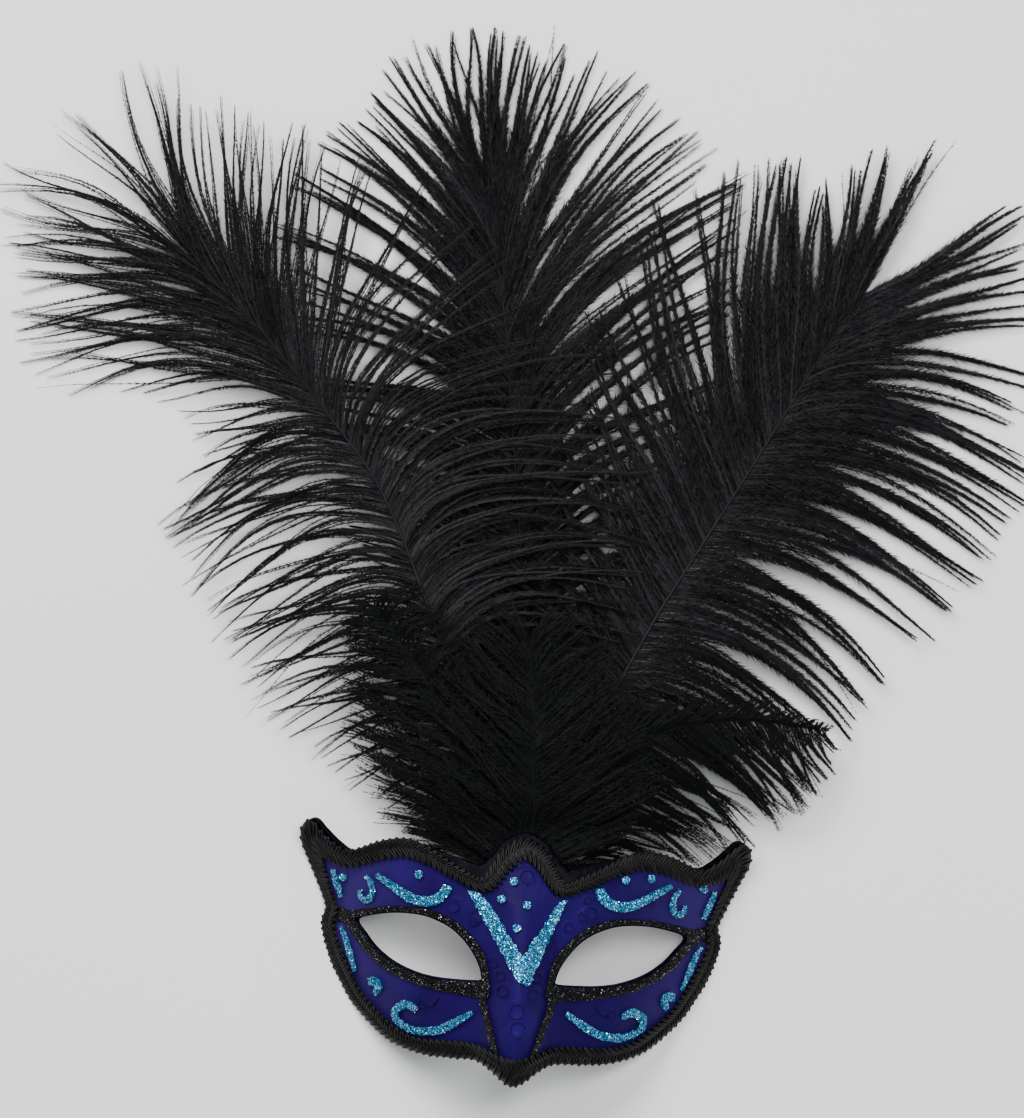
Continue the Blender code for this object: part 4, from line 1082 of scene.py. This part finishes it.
def flakes(spots, lifts, size, tilt, draw):
    """Small square flakes, each turned its own way."""
    count = len(spots)
    centre = over_shell(feet(spots, lifts[:, None]), lifts[:, None])
    normal = surface_normal(spots[:, 0], spots[:, 1]) + tilt * draw.normal(size=(count, 3))
    normal = normalized(normal)
    one = normalized(np.cross(normal, draw.normal(size=(count, 3))))
    two = np.cross(normal, one)
    half = (size * draw.uniform(0.6, 1.25, count) / 2)[:, None]
    corners = [centre + half * (a * one + b * two) for a, b in ((1, 1), (-1, 1), (-1, -1), (1, -1))]
    return np.stack(corners, axis=1).reshape(-1, 3), np.arange(4 * count).reshape(-1, 4)


def strewn(first, second, step, look, draw):
    """Flakes over a whole strip whose rows are step apart, higher along its middle."""
    area = np.sum(np.linalg.norm(first - second, axis=1)) * step
    spots, across = scatter(first, second, int(area * look["density"]), draw, look["edge"])
    lift = GAP + GLITTER_THICK * (0.4 + 0.6 * dome(across))
    lift = lift + draw.uniform(0.0, look["proud"], len(spots))
    return flakes(spots, lift, look["size"], look["tilt"], draw)


def glitter_strips():
    """Edges of every turquoise line, by its node."""
    found = {}
    for side, name in ((-1, "left"), (1, "right")):
        for kind, rows in GLITTER_LINES.items():
            shift = RIGHT_SHIFT[kind] if side > 0 else (0.0, 0.0)
            found[f"{kind}_{name}"] = line_edges(rows, side, shift)
    fine = spline(np.array(GLITTER_V), EDGE_STEPS)
    found["glitter_v"] = (plan(fine[:, 0], fine[:, 1]), plan(fine[:, 2], fine[:, 3]))
    return found


def build_glitter():
    draw = np.random.default_rng(GLITTER_SEED)
    lines, scraps, names = [], [], []
    for number, (name, edges) in enumerate(glitter_strips().items()):
        first, second = resample(*edges, TRIM_STEP)
        middle = (first + second) / 2
        ragged = 0.88 if name == "glitter_v" else 1.0
        ragged = ragged + 0.10 * smooth_noise(middle, 0.003, number)[:, None]
        first, second = (middle + (edge - middle) * ragged for edge in (first, second))
        lines.append(strip(first, second, 9, GLITTER_THICK, 0.00012, number))
        scraps.append(strewn(first, second, TRIM_STEP, TURQUOISE_LOOK, draw))
        names.append(name)
    turn = np.linspace(0, math.pi, 12)
    round_edge = np.stack([np.cos(turn), np.sin(turn)], axis=1) * DOT_RADIUS
    for number, (across, up) in enumerate(DOTS + MORE_DOTS, 1):
        first, second = plan(across, up) + round_edge, plan(across, up) + round_edge * (1, -1)
        lines.append(strip(first, second, 9, GLITTER_THICK, 0.00008, 60 + number))
        spots, _ = scatter(first, second, FLAKES_A_DOT, draw)
        lift = GAP + GLITTER_THICK * 0.9 + draw.uniform(0.0, 0.0002, len(spots))
        scraps.append(flakes(spots, lift, TURQUOISE_LOOK["size"], TURQUOISE_LOOK["tilt"], draw))
        if number <= len(DOTS):
            names.append(f"glitter_dot_{number}")
    points, faces = gather(lines)
    mesh_piece("glitter_glue", points, faces, (glue("turquoise_glue", GLUE_BLUES, 0.35),),
               names)
    points, faces = gather(scraps)
    shade = np.repeat(draw.random(len(faces)), 4)
    mesh_piece("glitter_flakes", points, faces, (flake("turquoise_flakes", FLAKE_BLUES, 0.22),),
               names, smooth=False, shade=shade)


def build_black_glitter():
    draw = np.random.default_rng(BLACK_SEED)
    strips, scraps, names = [], [], []
    for side, name in ((-1, "left"), (1, "right")):
        _, lip, outer = eye_edges(side, EDGE_STEPS)
        border = resample(lip, outer, BLACK_STEP, closed=True)
        line = resample(*line_edges(NOSE_LINE_TOP + NOSE_LINE + NOSE_LINE_FOOT, side), BLACK_STEP)
        corner = resample(*line_edges(EYE_CORNER, side), BLACK_STEP)
        strips.append(strip(*border, 9, GLITTER_THICK, 0.00014, 40 + side, closed=True))
        strips.append(strip(*line, 7, GLITTER_THICK, 0.00014, 50 + side))
        strips.append(strip(*corner, 9, GLITTER_THICK, 0.00014, 70 + side))
        names += [f"eye_border_{name}", f"nose_line_{name}"]
        scraps += [strewn(*edges, BLACK_STEP, BLACK_LOOK, draw) for edges in (border, line, corner)]
    points, faces = gather(strips)
    mesh_piece("black_glue", points, faces, (glue("black_glue", GLUE_BLACKS, 0.5),),
               names)
    points, faces = gather(scraps)
    shade = np.repeat(draw.random(len(faces)) ** 3, 4)
    mesh_piece("black_flakes", points, faces, (flake("black_flakes", FLAKE_BLACKS, 0.3),),
               names, smooth=False, shade=shade)


# Feathers


def shaft_path(feather, look):
    rows = [(across * look["unit"], look["root"] + up * look["unit"]) for across, up in feather["shaft"]]
    return spline([(feather["root"] * look["spacing"], look["root"] - QUILL_INSIDE)] + rows, SHAFT_STEPS)


def height_over(feather):
    """The function that gives the height of a plume's or tuft's middle, as the CAD lays it."""
    plume = PLUMES[feather["over"]] if "over" in feather else feather
    shaft = shaft_path(plume, PLUME_LOOK)
    table = np.array(LAYERS)
    least = table[-1, 1]

    def height(x, y):
        base, step = (np.interp(y, table[:, 0], table[:, column]) for column in (1, 2))
        middle = base + plume["layer"] * step
        if plume["root"]:
            outward = (x - np.interp(y, shaft[:, 1], shaft[:, 0])) * plume["root"]
            kept = DROOP_LEFT_OVER * (1 - smooth_step((y - DROOP_FROM) / DROOP_OVER))
            droop = smooth_step(outward / DROOP_REACH) * (1 - kept)
            middle = least + (middle - least) * (1 - droop)
        return middle + (feather["layer"] - plume["layer"]) * step

    return height


def drawn_in(path, group, amount):
    """The paths moved towards the mean path of their group."""
    shared = np.stack([path[group == k].mean(axis=0) for k in range(group.max() + 1)])[group]
    return path + (shared - path) * amount[:, :, None]


def barb_paths(feather, side, look, draw):
    """Paths (barb, step, xyz) of the barbs on one side of a shaft, drawn together in strands."""
    # Where each barb starts, and its strand and lock
    shaft = shaft_path(feather, look)
    count = int(way_along(shaft)[-1] * (1 - look["from"]) / look["pitch"])
    station = look["from"] + (1 - look["from"]) * ((np.arange(count) + 0.5) / count) ** look["crowd"]
    station = np.clip(station + draw.normal(0, 0.25 / count, count), 0.0, 0.999)
    foot = station - look["fold"] * smooth_step((station - 0.5) / 0.5)
    start = at_share(shaft, foot)
    along = normalized(at_share(shaft, np.minimum(foot + 0.01, 1)) - at_share(shaft, foot - 0.01))
    strand = np.repeat(np.arange(count), draw.integers(*look["strand"], count))[:count]
    strands = strand.max() + 1
    lock = np.repeat(np.arange(strands), draw.integers(*look["lock"], strands))[:strands][strand]
    # Where it ends: at the table's tip, a little shorter and to one side
    table = np.array(feather[side])
    tip = read_at(table[:, 1:], table[:, 0], station) * look["unit"] + [0, look["root"]]
    reach = 1 + draw.normal(0, look["uneven"], strands)[strand]
    reach = reach - np.abs(draw.normal(0, look["short"], count)) + 0.9 * look["short"]
    reach = np.clip(reach, 0.55, 1.14)
    swing = draw.normal(0, look["swing"], strands)[strand] + draw.normal(0, 0.6 * look["swing"], count)
    stray = draw.random(count) < look["stray"]
    swing = swing + stray * draw.normal(0, STRAY_SWING, count)
    to_tip = turned((tip - start) * reach[:, None], swing)
    # How it bends on its way, and waves
    low, high = look["leave"]
    leave = np.radians(low + (high - low) * smooth_step((station - 0.4) / 0.6))
    leave = leave * (1 if side == "left" else -1) + draw.normal(0, LEAVE_SPREAD, count)
    size = np.linalg.norm(to_tip, axis=1, keepdims=True)
    bend = turned(along, leave) * size * (BARB_BEND + draw.normal(0, BEND_SPREAD, count))[:, None]
    t = np.linspace(0, 1, look["steps"])
    s = t[:, None]
    path = start[:, None] + 2 * s * (1 - s) * bend[:, None] + s**2 * to_tip[:, None]
    phase = draw.uniform(0, 2 * math.pi, strands)[strand][:, None]
    wave = np.sin(t * math.pi * 1.6 + phase) * t * look["wave"] * size
    wave += np.sin(t * 9 + draw.uniform(0, 6.3, (count, 1))) * t * WOBBLE
    path = path + (square_to(to_tip) / size)[:, None] * wave[:, :, None]
    # How it keeps to its lock and strand, and its height
    kept = ((1 - stray) * draw.uniform(0.88, 1.0, count))[:, None]
    loose = 1 - 0.7 * smooth_step((station - 0.85) / 0.15)[:, None]
    path = drawn_in(path, lock, look["locked"] * kept * loose * smooth_step((t - 0.1) / 0.8))
    path = drawn_in(path, strand, look["gather"] * kept * smooth_step((t - look["together"]) / 0.6))
    height = height_over(feather)(path[..., 0], path[..., 1])
    arch = np.sin(math.pi * t) * draw.uniform(-0.4, 1.0, (count, 1)) * look["arch"]
    lift = draw.normal(0, look["spread"], (count, 1)) * np.sqrt(t)
    z = np.minimum(np.maximum(height + arch + lift, BARB_LOWEST), height + look["top"])
    return np.concatenate([path, z[..., None]], axis=-1)


def ribbons(paths, width, draw):
    """Ribbons along the barbs, tapering to their tips."""
    count, steps = paths.shape[:2]
    side, over = side_and_over(normalized(np.gradient(paths, axis=1)))
    roll = draw.uniform(-0.6, 0.6, (count, 1, 1))
    side = side * np.cos(roll) + over * np.sin(roll)
    taper = (1 - 0.85 * np.linspace(0, 1, steps) ** 1.6)[None, :, None]
    half = side * width * taper * draw.uniform(0.75, 1.2, (count, 1, 1)) / 2
    points = np.stack([paths - half, paths + half], axis=2).reshape(-1, 3)
    faces = repeated(grid_faces(steps, 2), count, steps * 2)
    return points, np.concatenate([faces[:, [0, 1, 2]], faces[:, [0, 2, 3]]])


def barbules(paths, look, draw):
    """Fine hairs along both sides of the barbs, as slim triangles, and the barb of each."""
    found = []
    for number, path in enumerate(paths):
        way = way_along(path)
        total = way[-1]
        count = int(total / look["hair_pitch"])
        at = (np.arange(count) + draw.random(count)) * look["hair_pitch"]
        at = at[(at > total * look["hair_from"]) & (at < total * 0.99)]
        ahead, behind = np.minimum(at + HAIR_VIEW, total), np.maximum(at - HAIR_VIEW, 0)
        along = read_at(path, way, ahead) - read_at(path, way, behind)
        found.append((read_at(path, way, at), normalized(along), at / total, np.full(len(at), number)))
    spot, along, share, owner = (np.concatenate(column * 2) for column in zip(*found))
    count = len(spot)
    hand = np.repeat([-1.0, 1.0], count // 2)
    side, over = side_and_over(along)
    tilt = draw.normal(0, HAIR_TILT, count)
    lean = np.clip(draw.normal(look["lean"], HAIR_LEAN_SPREAD, count), 0.2, 1.4)
    out = side * (hand * np.cos(tilt))[:, None] + over * np.sin(tilt)[:, None]
    way = along * np.cos(lean)[:, None] + out * np.sin(lean)[:, None]
    grown = 1 - (1 - look["tip_hair"]) * np.clip((share - 0.5) / 0.5, 0, 1)
    grown = grown * np.clip(share / 0.08, 0.3, 1)
    end = spot + way * (look["hair"] * grown * draw.uniform(0.55, 1.2, count))[:, None]
    end[:, 2] = np.maximum(end[:, 2], HAIR_LOWEST)
    half = along * (look["hair_wide"] / 2 / np.sin(lean))[:, None]
    points = np.stack([spot - half, spot + half, end], axis=1).reshape(-1, 3)
    return points, np.arange(3 * count).reshape(-1, 3), owner


def build_feather(name, feather, look, material, seed):
    """The barbs and hairs of each side of a feather, and its shaft."""
    draw = np.random.default_rng(seed)
    for side in ("left", "right"):
        own = {**look, **SIDES.get(f"{name}_{side}", {})}
        paths = barb_paths(feather, side, own, draw)
        way_up = np.linspace(0, 1, len(paths))[:, None, None]
        wide = own["wide"] * (1 + own["full"] * (1 - smooth_step((way_up - 0.35) / 0.3)))
        flat_barbs = ribbons(paths, wide, draw)
        hairs, hair_faces, owner = barbules(paths, own, draw)
        tone = draw.random(len(paths)) ** 1.6
        shade = np.concatenate([np.repeat(tone, look["steps"] * 2), np.repeat(tone[owner], 3)])
        points, faces = gather([flat_barbs, (hairs, hair_faces)])
        mesh_piece(f"{name}_{side}_barbs", points, faces, (material,), (name,),
                   smooth=False, shade=shade)
    flat = at_share(shaft_path(feather, look), np.linspace(0, 0.99 - look["fold"], SHAFT_POINTS))
    z = height_over(feather)(flat[:, 0], flat[:, 1]) + 0.0004
    radius = np.linspace(look["shaft"], SHAFT_TIP * look["shaft"], SHAFT_POINTS)
    points, faces = tube(np.concatenate([flat, z[:, None]], axis=1)[None], radius[None], 8)
    mesh_piece(f"{name}_shaft", points, faces, (material,), (name,),
               shade=np.full(len(points), 0.8))


# Stage


def build_floor():
    mesh = bpy.data.meshes.new("floor")
    reach = FLOOR_REACH
    corners = [(-reach, -reach), (reach, -reach), (reach, reach), (-reach, reach)]
    mesh.from_pydata([(x, y, FLOOR_Z) for x, y in corners], [], [(0, 1, 2, 3)])
    floor = bpy.data.objects.new("floor", mesh)
    bpy.context.scene.collection.objects.link(floor)
    material, tree, shader = material_nodes("pale_floor", rough=0.55, specular=0.3)
    link(tree, shader, colour=ramp(tree, noise(tree, 3.0), FLOOR_COLOURS))
    mesh.materials.append(material)


def build_lights():
    world = bpy.data.worlds.new("studio")
    bpy.context.scene.world = world
    world.use_nodes = True
    background = world.node_tree.nodes["Background"]
    background.inputs["Color"].default_value = (*SKY_COLOUR, 1.0)
    background.inputs["Strength"].default_value = SKY_STRENGTH
    for name, spot, wide, power, colour in LIGHTS:
        data = bpy.data.lights.new(name, "AREA")
        data.shape = "RECTANGLE"
        data.size, data.size_y = wide
        data.energy = power
        data.color = colour
        lamp = bpy.data.objects.new(name, data)
        lamp.location = spot
        lamp.rotation_euler = (-mathutils.Vector(spot)).to_track_quat("-Z", "Y").to_euler()
        bpy.context.scene.collection.objects.link(lamp)


def build_camera():
    view = bpy.data.cameras.new("camera")
    view.sensor_fit = "HORIZONTAL"
    view.lens = view.sensor_width * CAMERA_HEIGHT / VIEW_WIDTH
    view.clip_end = VIEW_REACH
    camera = bpy.data.objects.new("camera", view)
    camera.location = (*VIEW_MIDDLE, CAMERA_HEIGHT)
    camera.rotation_euler = (0.0, 0.0, math.radians(VIEW_TURN))
    bpy.context.scene.collection.objects.link(camera)
    bpy.context.scene.camera = camera


def main():
    build_floor()
    build_lights()
    build_camera()
    build_shell()
    build_braid()
    build_glitter()
    build_black_glitter()
    plume = barb_material("black_plume", PLUME_BLACKS, 0.5)
    down = barb_material("black_down", DOWN_BLACKS, 0.7)
    for number, (name, feather) in enumerate(PLUMES.items()):
        build_feather(name, feather, PLUME_LOOK, plume, PLUME_SEED + number)
    for number, (name, feather) in enumerate(TUFTS.items()):
        build_feather(name, feather, TUFT_LOOK, down, TUFT_SEED + number)
    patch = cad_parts["feather_patch"]
    patch.data.materials.clear()
    patch.data.materials.append(felt())


main()
